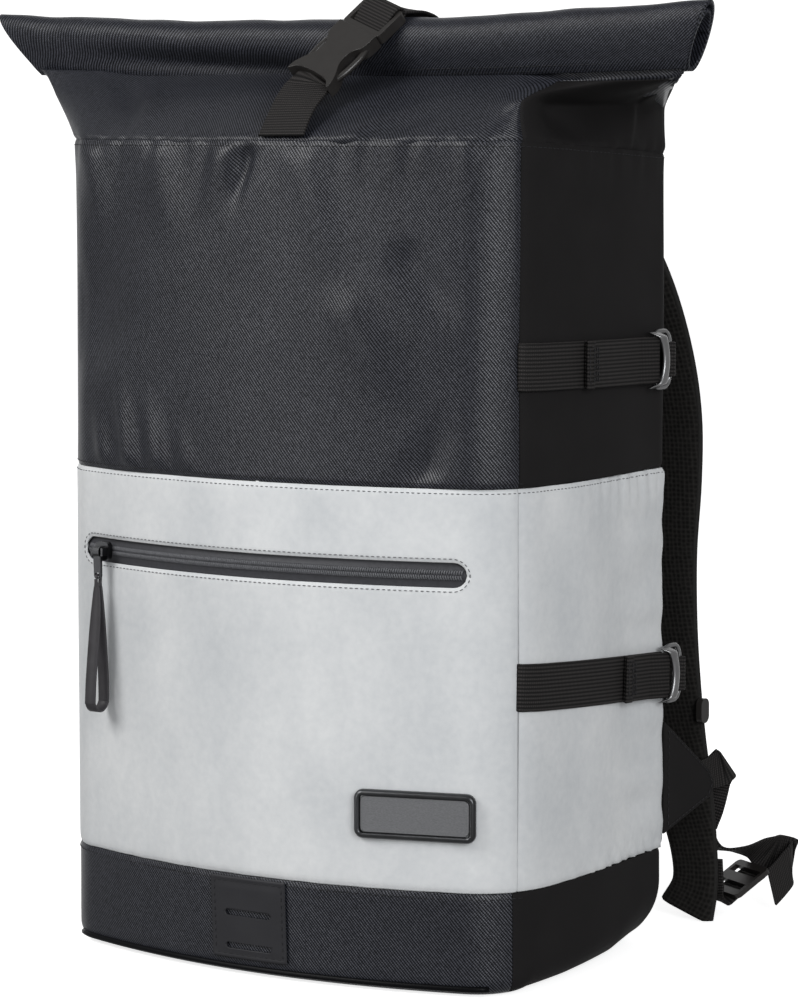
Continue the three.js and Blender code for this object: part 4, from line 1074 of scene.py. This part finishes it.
def mouth_seam(share):
    return seam_height(min(1, abs(share) / WRAP_SHARE))


def sagging(p):
    lift = clamp((p.z - SEAM_Z) / (ROLL_TOP["z"] - SEAM_Z))
    across = max(0, 1 - (p.x / ROLL_TOP[1]) ** 2)
    return Vector((p.x, p.y, p.z - MOUTH_SAG * across * lift))


def collar_turn(share, rise):
    """How far the cloth has turned from seam to mouth: panels slope, side walls stand up and turn at a lip"""
    s = abs(share)
    wall = smooth((s - 0.27) / 0.09) * smooth((0.9 - s) / 0.18)
    left_ear = smooth((0.56 - s) / 0.12) if share < 0 else 0
    upright = smooth((rise - LIP_START) / LIP_RUN)
    return lerp(rise ** 1.25, lerp(upright, rise ** 0.95, left_ear), wall)


def gusset_tuck(share, rise):
    return GUSSET["depth"] * bell(share - GUSSET["share"], GUSSET["reach"]) * math.sin(math.pi * rise)


def collar_point(share, rise, inset=0.0):
    s = abs(share)
    side = -1 if share < 0 else 1
    foot = mouth_outline(share, inset)
    out = min(s, 1 - s)
    reach = RIGHT_REACH if 0 < share <= TIP_SHARE else PANEL_REACH
    ear = clamp((out - EAR_START) / (TIP_SHARE - EAR_START))
    along = lerp(reach * min(1, out / EAR_START), 1, ear)
    tip = side * (ROLL_BOTTOM[side] - 2 - inset) * along
    slit = (-1 if s <= TIP_SHARE else 1) * (MOUTH_GAP - 0.8 * inset)
    forward = LEFT_FORWARD * smooth((s - 0.2) / 0.1) * smooth((TIP_SHARE - s) / 0.08) if share < 0 else 0
    turn = collar_turn(share, rise)
    return sagging(Vector((
        lerp(foot.x, tip, turn) - gusset_tuck(share, rise),
        lerp(foot.y, MOUTH_Y + slit - forward, turn),
        lerp(mouth_seam(share) + SEW_GAP, COLLAR_TOP - inset, rise),
    )))


def collar_lift(share, rise):
    gather = 0.7 * bell(rise, 0.16) * ripple(share * 190, rise * 4, 0.6)
    free = math.sin(math.pi * clamp(rise)) * (1 - smooth((rise - 0.6) / 0.2))
    sway = 1.6 * free * ripple(share * 46, rise * 3.1, 1.9)
    crease = 4 * free * bell(share - CREASE_SHARE, 0.016)
    crease += fold_lift(share * COLLAR_SPAN, rise * (COLLAR_TOP - SEAM_Z), COLLAR_FOLDS)
    closed = smooth((1 - abs(share)) / 0.06)
    return closed * (gather + sway + crease) - 0.9 * bell(rise, 0.03)


def collar_foot(share):
    """Seam allowance of the collar, behind the panels"""
    p = mouth_outline(share, 2.6)
    return Vector((p.x, p.y, mouth_seam(share) - COLLAR_ALLOWANCE))


def roll_point(along, turn, out):
    """Point of the rolled mouth: along from end to end, turn through the layers, out from a layer's middle"""
    angle = math.radians(ROLL_START - ROLL_TURN * turn)
    keep = 1 - ROLL_TIGHTER * turn
    pinch = 1 - ROLL_PINCH * abs(along) ** 3
    y = (ROLL_A * keep + out) * signed_power(math.cos(angle), ROLL_SQUARE) * pinch
    z = ROLL_Z + (ROLL_B * keep + out) * signed_power(math.sin(angle), ROLL_SQUARE)
    side = -1 if along < 0 else 1
    up = (z - ROLL_BOTTOM["z"]) / (ROLL_TOP["z"] - ROLL_BOTTOM["z"])
    x = along * lerp(ROLL_BOTTOM[side], ROLL_TOP[side], up)
    crease_z = ROLL_CREASE["z"] - ROLL_CREASE["slope"] * x
    height = ROLL_CREASE["above" if z > crease_z else "below"]
    dent = bell(x - ROLL_CREASE["x"], ROLL_CREASE["reach"]) * bell(z - crease_z, height)
    y += ROLL_CREASE["depth"] * clamp(-y / ROLL_A) * dent - ROLL_LEAN * (z - ROLL_Z)
    return sagging(Vector((x, MOUTH_Y + y, z)))


def roll_lift(along, turn):
    outer = 1 - smooth((turn - 0.55) / 0.2)
    hem = 1.0 * math.exp(-((turn / 0.034) ** 6))
    waves = 0.5 * ripple(along * 9 + turn * 5, turn * 16, 0.3) + 0.4 * ripple(along * 27, turn * 9, 1.1)
    return outer * (waves * smooth(turn / 0.05) + hem)


def make_mouth():
    shares = spread(-1, 1, 320)
    rises = [0, 0.012, 0.03, 0.055, *spread(0.09, 0.5, 9), *spread(0.53, 1, 22)]
    rows = [[collar_foot(s) for s in shares]]
    rows += grid(rises, shares, lambda s, r: collar_point(s, r, -collar_lift(s, r)))

    def in_gusset(j, i):
        middle = abs(shares[i] + shares[i + 1]) / 2
        return GUSSET_CLOTH["from"] < middle < GUSSET_CLOTH["to"] and ([-1, *rises][j] < GUSSET_CLOTH["top"])

    piece = cloth_sheet("collar_cloth", [rows], keep=lambda j, i: not in_gusset(j, i))
    finish_piece(piece, TWILL, ["roll_top"])
    for name, way in SIDES:
        piece = cloth_sheet(
            f"gusset_{name}", [rows], keep=lambda j, i: in_gusset(j, i) and way * shares[i] > 0)
        finish_piece(piece, SMOOTH_CLOTH, ["roll_top"])
    alongs = graded(-1, 1, 0.017, (0.002, 0.005, 0.009, 0.014))
    turns = [0, 0.004, 0.01, 0.018, 0.026, *spread(0.034, 1, 76)]
    rows = grid(turns, alongs[::-1], lambda a, t: roll_point(a, t, roll_lift(a, t)))
    piece = cloth_sheet("roll_cloth", [rows], 2.2, 0.0)
    finish_piece(piece, ROLL_TWILL, ["roll_top"])
    lines = []
    outward = Vector((0, -0.75, -0.6))
    for turn in (0.01, 0.026):
        lines.append([(roll_point(a, turn, 2.1), outward) for a in spread(-0.985, 0.985, 160)])
    finish_piece(stitches("hem_stitches", lines, 2.2, 1.0, 0.25), THREAD)


make_mouth()


# Padded back
def make_back():
    low = BACK_PAD["low"]
    top = SEAM_Z - SEAM_FALL

    def point(share, z):
        half = body_point(1, z, 2.5).x - 1.1
        edge = smooth(min(z - low, top - z) / BACK_PAD["thick"])
        to_channel = (abs(share) - BACK_PAD["channel_at"]) * half
        channel = BACK_PAD["channel"] * bell(to_channel, BACK_PAD["channel_reach"])
        crown = BACK_PAD["crown"] * (1 - abs(share) ** 6) ** 0.5
        return Vector((share * half, BACK_PAD["y"] + (crown - channel) * edge, z))

    heights = graded(low, top - SEW_GAP, 6, (0.6, 1.6, 3, 5))
    shares = graded(1, -1, 0.045, (0.004, 0.01, 0.02, 0.035))
    piece = cloth_sheet("back_pad", [grid(heights, shares, point)], BACK_PAD["thick"])
    finish_piece(piece, PADDED_MESH, ["back_panel"])


make_back()


# Zip: tape, coil, slider, tab and leather loop
def tape_point(x, dz):
    depth = 2.9 if abs(dz) > 4 else lerp(1.4, 2.6, abs(dz) / 4)
    return front_point(x, ZIP_Z + dz) + Y_WAY * depth


def make_zip():
    heights = (-11, -8, -5, -3, -1.2, 0, 1.2, 3, 5, 8, 11)
    rows = grid(heights, spread(-TAPE_HALF, TAPE_HALF, 90), tape_point)
    piece = cloth_sheet("zip_tape_cloth", [rows], 0.8)
    finish_piece(piece, ZIP_GREY, ["zip_tape"])
    points, faces = [], []
    for k in range(int(2 * TEETH_HALF / TOOTH_PITCH)):
        x = k * TOOTH_PITCH - TEETH_HALF
        face = front_point(x, ZIP_Z) + Y_WAY * 1.1
        for way in (-1, 1):
            shift = TOOTH_PITCH / 2 if way > 0 else 0
            first = len(points)
            for dz, rise in ((0.1, 0.25), (1.1, 0), (2.3, 0.3), (2.7, 1.2)):
                for dx in (-0.42, 0.42):
                    points.append(face + Vector((dx + shift + 0.2 * dz, rise, way * dz)))
            for i in range(3):
                a = first + 2 * i
                faces.append((a, a + 1, a + 3, a + 2) if way > 0 else (a + 2, a + 3, a + 1, a))
    piece = new_object("zip_teeth", points, faces)
    teeth = piece.modifiers.new("Thickness", "SOLIDIFY")
    teeth.thickness = 0.5 * MM
    finish_piece(piece, COIL_GREY, ["zip_tape"])

    line = []
    for t in spread(0, 1, 240):
        w, dz = slot_place(t, 2.0)
        line.append((wall_point(front_share(w), ZIP_Z + dz, BAND_TOP, SILVER_TOP), -Y_WAY))
    finish_piece(stitches("zip_stitches", [line], 1.7, 1.3), GREY_THREAD)


def slot_place(t, off):
    """Place round the zip slot at a distance outside it, t from 0 to 1"""
    straight = 2 * (ZIP_HALF - ZIP_RADIUS)
    r = ZIP_RADIUS + off
    bend = math.pi * r
    run = t * 2 * (straight + bend)
    if run < straight:
        return run - straight / 2, -r
    run -= straight
    if run < bend:
        turn = run / r - math.pi / 2
        return straight / 2 + r * math.cos(turn), r * math.sin(turn)
    run -= bend
    if run < straight:
        return straight / 2 - run, r
    turn = (run - straight) / r + math.pi / 2
    return -straight / 2 + r * math.cos(turn), r * math.sin(turn)


def leather_rows():
    eye = ZIP_Z - PULL_LENGTH + PULL_WIDTH / 2
    bend = LEATHER["spread"]
    low = eye - LEATHER["length"] + bend
    neck = eye - LEATHER["neck"]
    leg = LEATHER["thick"] / 2 + 0.4
    path = [(-1.9 * math.cos(turn), eye - 1.2 + 1.2 * math.sin(turn)) for turn in spread(0, math.pi, 8)]
    path += [(leg + 0.5, eye - 5), (leg, neck), (leg + 1.2, lerp(neck, low, 0.3))]
    path += [(bend - 0.8, lerp(neck, low, 0.75))]
    path += [(bend * math.cos(turn), low + bend * math.sin(turn)) for turn in spread(0, -math.pi, 10)]
    path += [(-bend + 0.8, lerp(neck, low, 0.75)), (-leg - 1.2, lerp(neck, low, 0.3)), (-leg, neck)]
    path += [(-leg - 0.5, eye - 5), (-1.9, eye - 2)]
    rows = []
    for out, z in path:
        down = clamp((eye - z) / LEATHER["length"])
        width = lerp(LEATHER["narrow"], LEATHER["wide"], smooth((eye - 3 - z) / 12))
        rows.append((SLIDER_X, BAR_Y + out + LEATHER["lean"] * down, z, 1, 0, 0, width))
    return rows


def make_pull():
    finish_piece(copy_of("zip_slider", "slider_body", 0.5), GUNMETAL, ["zip_slider"])
    finish_piece(copy_of("zip_pull", "pull_tab", 0.25), GUNMETAL, ["zip_pull"], "zip_pull")
    rows = smooth_rows(leather_rows(), 4)
    frames = strip_frames(rows)
    h = LEATHER["thick"] / 2
    rings = []
    for (p, across, out), row in zip(frames, rows):
        half = row[6] / 2
        flat = half - 0.5
        section = [(-half, 0.35 * h), (-half, -0.35 * h), (-flat, -h), (flat, -h),
                   (half, -0.35 * h), (half, 0.35 * h), (flat, h), (-flat, h)]
        rings.append([p + across * a + out * b for a, b in section])
    piece = ring_loft("leather_loop", rings)
    finish_piece(piece, LEATHER_GREY, ["pull_loop"], "zip_pull")


make_zip()
make_pull()


# Badge: bevelled frame round a bare plate
def make_badge():
    ahead = front_point(BADGE["x"] + 1, BADGE["z"])
    before = front_point(BADGE["x"] - 1, BADGE["z"])
    along = Vector((2, ahead.y - before.y, 0)).normalized()
    out = along.cross(Z_WAY)
    place = front_point(BADGE["x"], BADGE["z"]) + Vector((0, -0.3, 0))
    rings = []
    for inset, height in BADGE_PROFILE:
        ring = rounded_rectangle(
            BADGE["width"] - 2 * inset, BADGE["height"] - 2 * inset, max(1.2, BADGE["radius"] - inset), 8)
        rings.append([place + along * a + Z_WAY * b + out * height for a, b in ring])
    piece = ring_loft("badge_rim", rings, closed=True)
    finish_piece(piece, GUNMETAL, ["badge_frame"])
    border = 2 * BADGE["frame"]
    inner = rounded_rectangle(BADGE["width"] - border, BADGE["height"] - border, 3.2)
    piece = slab("badge_face", inner, 1.6, basis(along, Z_WAY, out, place), 0.2)
    finish_piece(piece, BRUSHED, ["badge_plate"])


make_badge()


# Buckle and closing strap
BUCKLE_UP = (BUCKLE_HIGH - BUCKLE_LOW).normalized()
BUCKLE_OUT = Vector((0, -0.7, 0.7))
BUCKLE_OUT = (BUCKLE_OUT - BUCKLE_UP * BUCKLE_OUT.dot(BUCKLE_UP)).normalized()
BUCKLE_SIDE = BUCKLE_UP.cross(BUCKLE_OUT)


def make_buckle():
    at = basis(BUCKLE_SIDE, BUCKLE_UP, BUCKLE_OUT, BUCKLE_LOW)
    halves = smooth_rows(BUCKLE_HALVES, 4)
    right = [(half, along) for along, half in halves]
    lip_half = MOUTH_HALF - 0.2
    lip = [(lip_half * math.cos(turn), 1.6 + 2.4 * math.sin(turn)) for turn in spread(math.pi, 0, 10)]
    outline = [*right, *[(-half, along) for half, along in reversed(right)], *lip]
    piece = slab("buckle_socket", outline, BUCKLE_THICK, at, 1.2)
    finish_piece(piece, PLASTIC, ["buckle_female"])
    corners = [(MOUTH_HALF, 0), (MOUTH_HALF, 6), (-MOUTH_HALF, 6), (-MOUTH_HALF, 0)]
    piece = slab("buckle_floor", corners, 1.6, at, 0.3)
    finish_piece(piece, PLASTIC, ["buckle_female"])
    for k, side in enumerate((-1, 1)):
        prong = smooth_rows(BUCKLE_PRONG, 5)
        line = [at @ Vector((side * a, along, BUCKLE_THICK / 2)) for along, a in prong]
        finish_piece(tube(f"buckle_prong_{k}", line, 1.9, 10), PLASTIC, ["buckle_male"])
    length = BUCKLE_LENGTH - PLUG_START
    frame_at = at @ Matrix.Translation((0, PLUG_START + length / 2, 0.5))
    hole = rounded_rectangle(WEB_WIDTH + 1, length - 2 * PLUG_BAR, 0.8)
    piece = slab("buckle_plug", rounded_rectangle(PLUG_WIDTH, length, 2.5), PLUG_THICK, frame_at, 0.9, [hole])
    finish_piece(piece, PLASTIC, ["buckle_male"])


def on_collar(rise):
    share = STRAP_SHARE - STRAP_SHARE_FALL * rise
    p = collar_point(share, rise)
    along = collar_point(share, rise + 0.02) - collar_point(share, max(0, rise - 0.02))
    return p + Vector((0, -along.z, along.y)).normalized() * 2.2


def make_closing_strap():
    strap_in = BUCKLE_LOW + BUCKLE_OUT * 3.2 - BUCKLE_UP * 0.6
    strap_out = BUCKLE_HIGH + BUCKLE_OUT * 3 + BUCKLE_UP * 0.6
    rows = []
    foot = on_collar(0.02)
    for t in (0, 0.12, 0.3, 0.55, 0.8, 1):
        bow = Vector((0, -1.6, 1.6)) * math.sin(math.pi * t)
        rows.append((*(foot.lerp(strap_in, t) + bow), *X_WAY.lerp(BUCKLE_SIDE, smooth(2 * t))))
    rows.append((*(strap_in + BUCKLE_UP * 4.5), *BUCKLE_SIDE))
    finish_piece(webbing("closing_strap_front", rows, 28.6), FINE_WEBBING, ["top_webbing_front"])
    rows = []
    wrap = [
        (40 - BUCKLE_LENGTH, 2.6), (47 - BUCKLE_LENGTH, 5.4),
        (-4, 7.4), (0.6, 7.2), (2.2, 4.6), (1.4, 1.8), (-5, 0.4),
    ]
    for past, out in wrap:
        rows.append((*(BUCKLE_HIGH + BUCKLE_UP * past + BUCKLE_OUT * out), *BUCKLE_SIDE))
    finish_piece(webbing("strap_wrap", rows, 25.4), FINE_WEBBING, ["top_webbing_back"])
    rows = [(*strap_out, *BUCKLE_SIDE), (*(strap_out + BUCKLE_UP * 1.5), *BUCKLE_SIDE)]
    rows += [(*place, *X_WAY) for place in STRAP_BACK]
    finish_piece(webbing("closing_strap_back", rows), FINE_WEBBING, ["top_webbing_back"])


make_buckle()
make_closing_strap()


# Side straps with their hooks
def wall_path(start, end, off, count):
    return [body_point(share, SILVER_TOP, -off).xy for share in spread(start, end, count)]


def hook_x(bar):
    return body_point(side_share(bar), SILVER_TOP, -HOOK["off"]).x + 0.15


def turn_round(centre, start):
    made = []
    for turn in spread(0, math.pi, 12):
        c, s = math.cos(turn), math.sin(turn)
        made.append(centre + Vector((start.x * c - start.y * s, start.x * s + start.y * c)) * HOOK["turn"])
    return made


def strap_middle(z, fall, y, width=WEB_WIDTH):
    """Height of the middle of a strap that falls towards the back"""
    return z - fall * (y + HALF_DEPTH) + width / 2


def standing_rows(path, z, fall, width):
    """Rows for webbing that stands on its edge along a path seen from above"""
    return [(p.x, p.y, strap_middle(z, fall, p.y, width), *Z_WAY) for p in path]


def side_strap_rows(z, fall, bar, hem, start):
    near = STRAP_SEAT + WEB_THICK / 2
    centre = Vector((hook_x(bar), bar))
    path = wall_path(start, CORNER_END, near, 8)[:-1] if start < CORNER_END else []
    path += wall_path(CORNER_END, side_share(bar - 2), near, 28)
    path.insert(0, body_point(start - 0.003, SILVER_TOP, 0.9).xy)
    bend = turn_round(centre, Vector((-1, 0)))
    path += [Vector((p.x, bar + abs(p.y - bar))) for p in bend]
    path += wall_path(side_share(bar - 16), side_share(hem), near + WEB_THICK + 0.6, 16)
    return standing_rows(path, z, fall, WEB_WIDTH)


def hook_loop_rows(z, fall, bar, sewn):
    start = Vector(sewn)
    end = Vector((hook_x(bar), bar + HOOK["length"]))
    along = (end - start).normalized()
    across = Vector((-along.y, along.x))
    seat = WEB_THICK / 2 + 0.15
    path = [start + across * seat]
    for p in turn_round(end, across):
        back = (p - end).dot(along)
        path.append(p - along * 2 * back if back < 0 else p)
    path.append(start - across * seat)
    return standing_rows(path, z + (WEB_WIDTH - LOOP_WIDTH) / 2, fall, LOOP_WIDTH)


def hook_rings(z, fall, bar, side):
    """Rounded ring of wire between the strap in front of it and the loop behind it"""
    middle = Vector((side * hook_x(bar), bar + HOOK["length"] / 2, strap_middle(z, fall, bar)))
    ring = rounded_rectangle(HOOK["length"], HOOK["height"] - HOOK["bar"], 6.5, 8)
    return [middle + Vector((0, a, b)) for a, b in ring]


def crescent(name, z, fall, bar, side):
    """Bowed front bar of the hook, standing proud of the strap and turned in to the ring at its ends"""
    half = HOOK["height"] / 2 - HOOK["bar"] / 2
    low_x = hook_x(bar)
    rings = []
    for t in spread(-1, 1, 28):
        proud = CRESCENT["proud"] * (1 - smooth((abs(t) - 0.82) / 0.18))
        y = bar + CRESCENT["start"] + CRESCENT["width"] / 2 + CRESCENT["bow"] * (1 - t * t)
        z_here = strap_middle(z, fall, bar) + half * t
        wide = CRESCENT["width"] / 2 * (1 + CRESCENT["flare"] * t ** 4)
        ring = []
        for turn in circle_turns(14):
            a = wide * signed_power(math.cos(turn), 0.7)
            b = CRESCENT["thick"] / 2 * signed_power(math.sin(turn), 0.7)
            ring.append(Vector((side * (low_x + proud + b), y + a, z_here)))
        rings.append(ring)
    return ring_loft(name, rings)


def box_stitch(z, fall, y0, y1, off, side):
    """Square of stitches with its rows set in from the webbing's edges"""
    lines = []
    corners = [(y0, 3), (y1, 3), (y1, WEB_WIDTH - 3), (y0, WEB_WIDTH - 3), (y0, 3)]
    for (ya, ha), (yb, hb) in zip(corners, corners[1:]):
        line = []
        for t in spread(0, 1, 10):
            y = lerp(ya, yb, t)
            p = body_point(side_share(y), SILVER_TOP, -off)
            height = strap_middle(z, fall, y, 0) + lerp(ha, hb, t)
            line.append((Vector((side * p.x, p.y, height)), X_WAY * side))
        lines.append(line)
    return lines


def make_side_straps():
    for name, side in SIDES:
        lines = []
        for level, z, fall, bar, hem, sewn in SIDE_STRAPS:
            hem_ends = side_share(hem + STRAP_HEM["length"]), side_share(hem - STRAP_HEM["lap"])
            hem_path = wall_path(*hem_ends, STRAP_HEM["off"], 5)
            fold = standing_rows(hem_path, z, fall, WEB_WIDTH)
            rows = side_strap_rows(z, fall, bar, hem, STRAP_START[side])
            loop = hook_loop_rows(z, fall, bar, sewn)
            for part, path, width, thick, node in (
                ("strap_hem", fold, WEB_WIDTH + 0.6, STRAP_HEM["thick"], "side_webbing"),
                ("side_strap", rows, WEB_WIDTH, WEB_THICK, "side_webbing"),
                ("loop", loop, LOOP_WIDTH, WEB_THICK, "hook_loop"),
            ):
                piece = webbing(f"{part}_{level}_{name}", sided(path, side), width, thick, steps=1)
                finish_piece(piece, WEBBING, [f"{node}_{level}_{name}"])
            piece = tube(f"hook_{level}_{name}", hook_rings(z, fall, bar, side), HOOK["bar"] / 2, 10, True)
            finish_piece(piece, HOOK_METAL, [f"side_hook_{level}_{name}"])
            piece = crescent(f"hook_bow_{level}_{name}", z, fall, bar, side)
            finish_piece(piece, HOOK_METAL, [f"side_hook_{level}_{name}"])
            lines += box_stitch(z, fall, hem + 1.2, hem + 5.6, 5.3, side)
            lines += box_stitch(z, fall, hem + 9, hem + 11, 4.7, side)
        finish_piece(stitches(f"strap_stitches_{name}", lines, 2.2, 0.9, 0.3), THREAD)


make_side_straps()


# Shoulder straps, triangles, adjusting webbing and its lock
def make_shoulder(name, side):
    rows = [(x, y, z, 1, 0, 0, width) for x, y, z, width in SHOULDER]
    rows = smooth_rows(sided(rows, side), 6)
    frames = strip_frames(rows)
    along = run_lengths([f[0] for f in frames])
    rings, uv_rings, edges = [], [], ([], [])
    for (p, across, out), row, length in zip(frames, rows, along):
        half = row[6] / 2
        ring, uv_ring = [], []
        for turn in circle_turns(36):
            a = half * signed_power(math.cos(turn), 0.45)
            crown = SHOULDER_THICK / 2 * signed_power(math.sin(turn), 0.75)
            ring.append(p + across * a + out * crown)
            uv_ring.append(((a + half) * MM, length))
        rings.append(ring)
        uv_rings.append(uv_ring)
        edges[0].append(p - across * (half - 0.9))
        edges[1].append(p + across * (half - 0.9))
    piece = ring_loft(f"shoulder_pad_{name}", rings, uv_rings=uv_rings)
    finish_piece(piece, PADDED_MESH, [f"shoulder_strap_{name}"])
    for k, edge in enumerate(edges):
        piece = tube(f"shoulder_edge_{name}_{k}", edge, 2.0, 10)
        finish_piece(piece, BINDING, [f"shoulder_strap_{name}"])


def make_wing(name, side):
    at = basis(Y_WAY, Z_WAY, X_WAY, X_WAY * WING_X)
    if side < 0:
        at = Matrix.Scale(-1, 4, X_WAY) @ at
    piece = slab(f"wing_{name}", WING_CORNERS, WING_THICK, at, 0.8)
    finish_piece(piece, SMOOTH_CLOTH, [f"strap_wing_{name}"])
    lines = []
    middle = Vector((sum(c[0] for c in WING_CORNERS), sum(c[1] for c in WING_CORNERS))) / len(WING_CORNERS)
    ring = [Vector(c).lerp(middle, 0.13) for c in WING_CORNERS]
    face = side * (WING_X + WING_THICK + 0.05)
    for a, b in zip(ring, ring[1:] + ring[:1]):
        lines.append([(Vector((face, *a.lerp(b, t))), X_WAY * side) for t in spread(0, 1, 8)])
    finish_piece(stitches(f"wing_stitches_{name}", lines), THREAD)


def make_straps():
    for name, side in SIDES:
        make_shoulder(name, side)
        make_wing(name, side)
        for part, rows, width, node in (
            ("adjusting_strap", LOWER_WEBBING, LOWER_WIDTH, "lower_webbing"),
            ("strap_tab_web", STRAP_TAB, WEB_WIDTH, "strap_tab"),
        ):
            piece = webbing(f"{part}_{name}", sided(rows, side), width)
            finish_piece(piece, FINE_WEBBING, [f"{node}_{name}"])
        for part, node in (("lock", "ladder_lock"), ("clip", "sternum_slider")):
            piece = copy_of(f"{node}_{name}", f"{part}_{name}", 0.9)
            finish_piece(piece, PLASTIC, [f"{node}_{name}"])


make_straps()


# Rows of stitching on the panels
def outward(share, z):
    return (body_point(share, z) - body_point(share, z, 4)).normalized()


def wall_line(drop, low, high, half):
    """Line on a panel at a drop below its upper seam, or above its lower one if the drop is negative"""
    line = []
    for w in spread(-half, half, int(2 * half / 2.5)):
        share = length_share(w)
        top = upper_seam(share, high)
        z = top - drop if drop > 0 else low - drop
        line.append((wall_point(share, z, low, top), outward(share, z)))
    return line


def make_seam_stitches():
    lines = [wall_line(2.4, BAND_TOP, SILVER_TOP, 305)]
    finish_piece(stitches("silver_stitches", lines, 1.7, 1.3), GREY_THREAD)
    lines = [wall_line(3, SILVER_TOP, SEAM_Z, 305), wall_line(-2.4, SILVER_TOP, SEAM_Z, 155)]
    finish_piece(stitches("upper_stitches", lines), THREAD)
    shares = [length_share(w) for w in spread(-155, 155, 124)]
    z = BAND_TOP - 3
    line = [(body_point(share, z), outward(share, z)) for share in shares]
    finish_piece(stitches("base_stitches", [line]), THREAD)


make_seam_stitches()

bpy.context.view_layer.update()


# Floor in millimetres, camera in degrees, metres and pixels of the photo, lights in metres
FLOOR_REACH = 9000
BRIGHT_WAY = (-0.545, 0.838, 0)
CAMERA_YAW = 33.005
CAMERA_PITCH = 5.697
CAMERA_PLACE = (1.14813, -1.73419, 0.45285)
FOCAL_PIXELS = 3799.05
PHOTO_HEIGHT = 1000
SENSOR = 36


def area_light(name, place, target, size, power, colour=(1, 1, 1)):
    lamp = bpy.data.lights.new(name, "AREA")
    lamp.shape = "RECTANGLE"
    lamp.size, lamp.size_y = size
    lamp.energy = power
    lamp.color = colour
    obj = bpy.data.objects.new(name, lamp)
    obj.location = place
    obj.rotation_euler = (Vector(target) - Vector(place)).to_track_quat("-Z", "Y").to_euler()
    bpy.context.collection.objects.link(obj)
    return obj


def make_world():
    """Studio walls: bright behind the bag, dimmer on the side that lights its front"""
    world = bpy.data.worlds.new("studio")
    world.use_nodes = True
    tree = world.node_tree
    place = tree.nodes.new("ShaderNodeTexCoord")
    facing = tree.nodes.new("ShaderNodeVectorMath")
    facing.operation = "DOT_PRODUCT"
    facing.inputs[1].default_value = BRIGHT_WAY
    level = tree.nodes.new("ShaderNodeMapRange")
    for socket, value in (("From Min", 0.7), ("From Max", 0.93), ("To Min", 0.3), ("To Max", 1.2)):
        level.inputs[socket].default_value = value
    tree.links.new(place.outputs["Generated"], facing.inputs[0])
    tree.links.new(facing.outputs["Value"], level.inputs["Value"])
    tree.links.new(level.outputs["Result"], tree.nodes["Background"].inputs["Strength"])
    tree.nodes["Background"].inputs["Color"].default_value = (1, 1, 1, 1)
    bpy.context.scene.world = world


def make_stage():
    corners = [(x * FLOOR_REACH, y * FLOOR_REACH, -0.3) for x, y in ((-1, -1), (1, -1), (1, 1), (-1, 1))]
    floor = new_object("floor", corners, [(0, 1, 2, 3)])
    floor.data.materials.append(floor_look())
    floor.visible_diffuse = False
    floor.visible_glossy = False
    lights = [
        area_light("key", (-1.2, -2.0, 1.9), (0, 0, 0.27), (1.4, 1.3), 46, (1, 0.995, 0.985)),
        area_light("fill", (2.3, -1.6, 1.1), (0, 0, 0.32), (1.2, 1.6), 41, (0.97, 0.985, 1)),
        area_light("card", (-1.17, -2.5, 0.1), (0, 0, 0.3), (0.7, 0.6), 10),
    ]
    lights[2].visible_diffuse = False
    make_world()


def make_camera():
    yaw = math.radians(CAMERA_YAW)
    pitch = math.radians(CAMERA_PITCH)
    back = Vector((math.sin(yaw) * math.cos(pitch), -math.cos(yaw) * math.cos(pitch), math.sin(pitch)))
    right = Vector((math.cos(yaw), math.sin(yaw), 0))
    up = back.cross(right)
    lens = bpy.data.cameras.new("camera")
    lens.lens = FOCAL_PIXELS / PHOTO_HEIGHT * SENSOR
    lens.sensor_width = SENSOR
    lens.clip_end = 30
    lens.dof.use_dof = False
    camera = bpy.data.objects.new("camera", lens)
    camera.matrix_world = basis(right, up, back, Vector(CAMERA_PLACE))
    bpy.context.collection.objects.link(camera)
    bpy.context.scene.camera = camera


make_stage()
make_camera()
bpy.context.scene.view_settings.view_transform = "Standard"
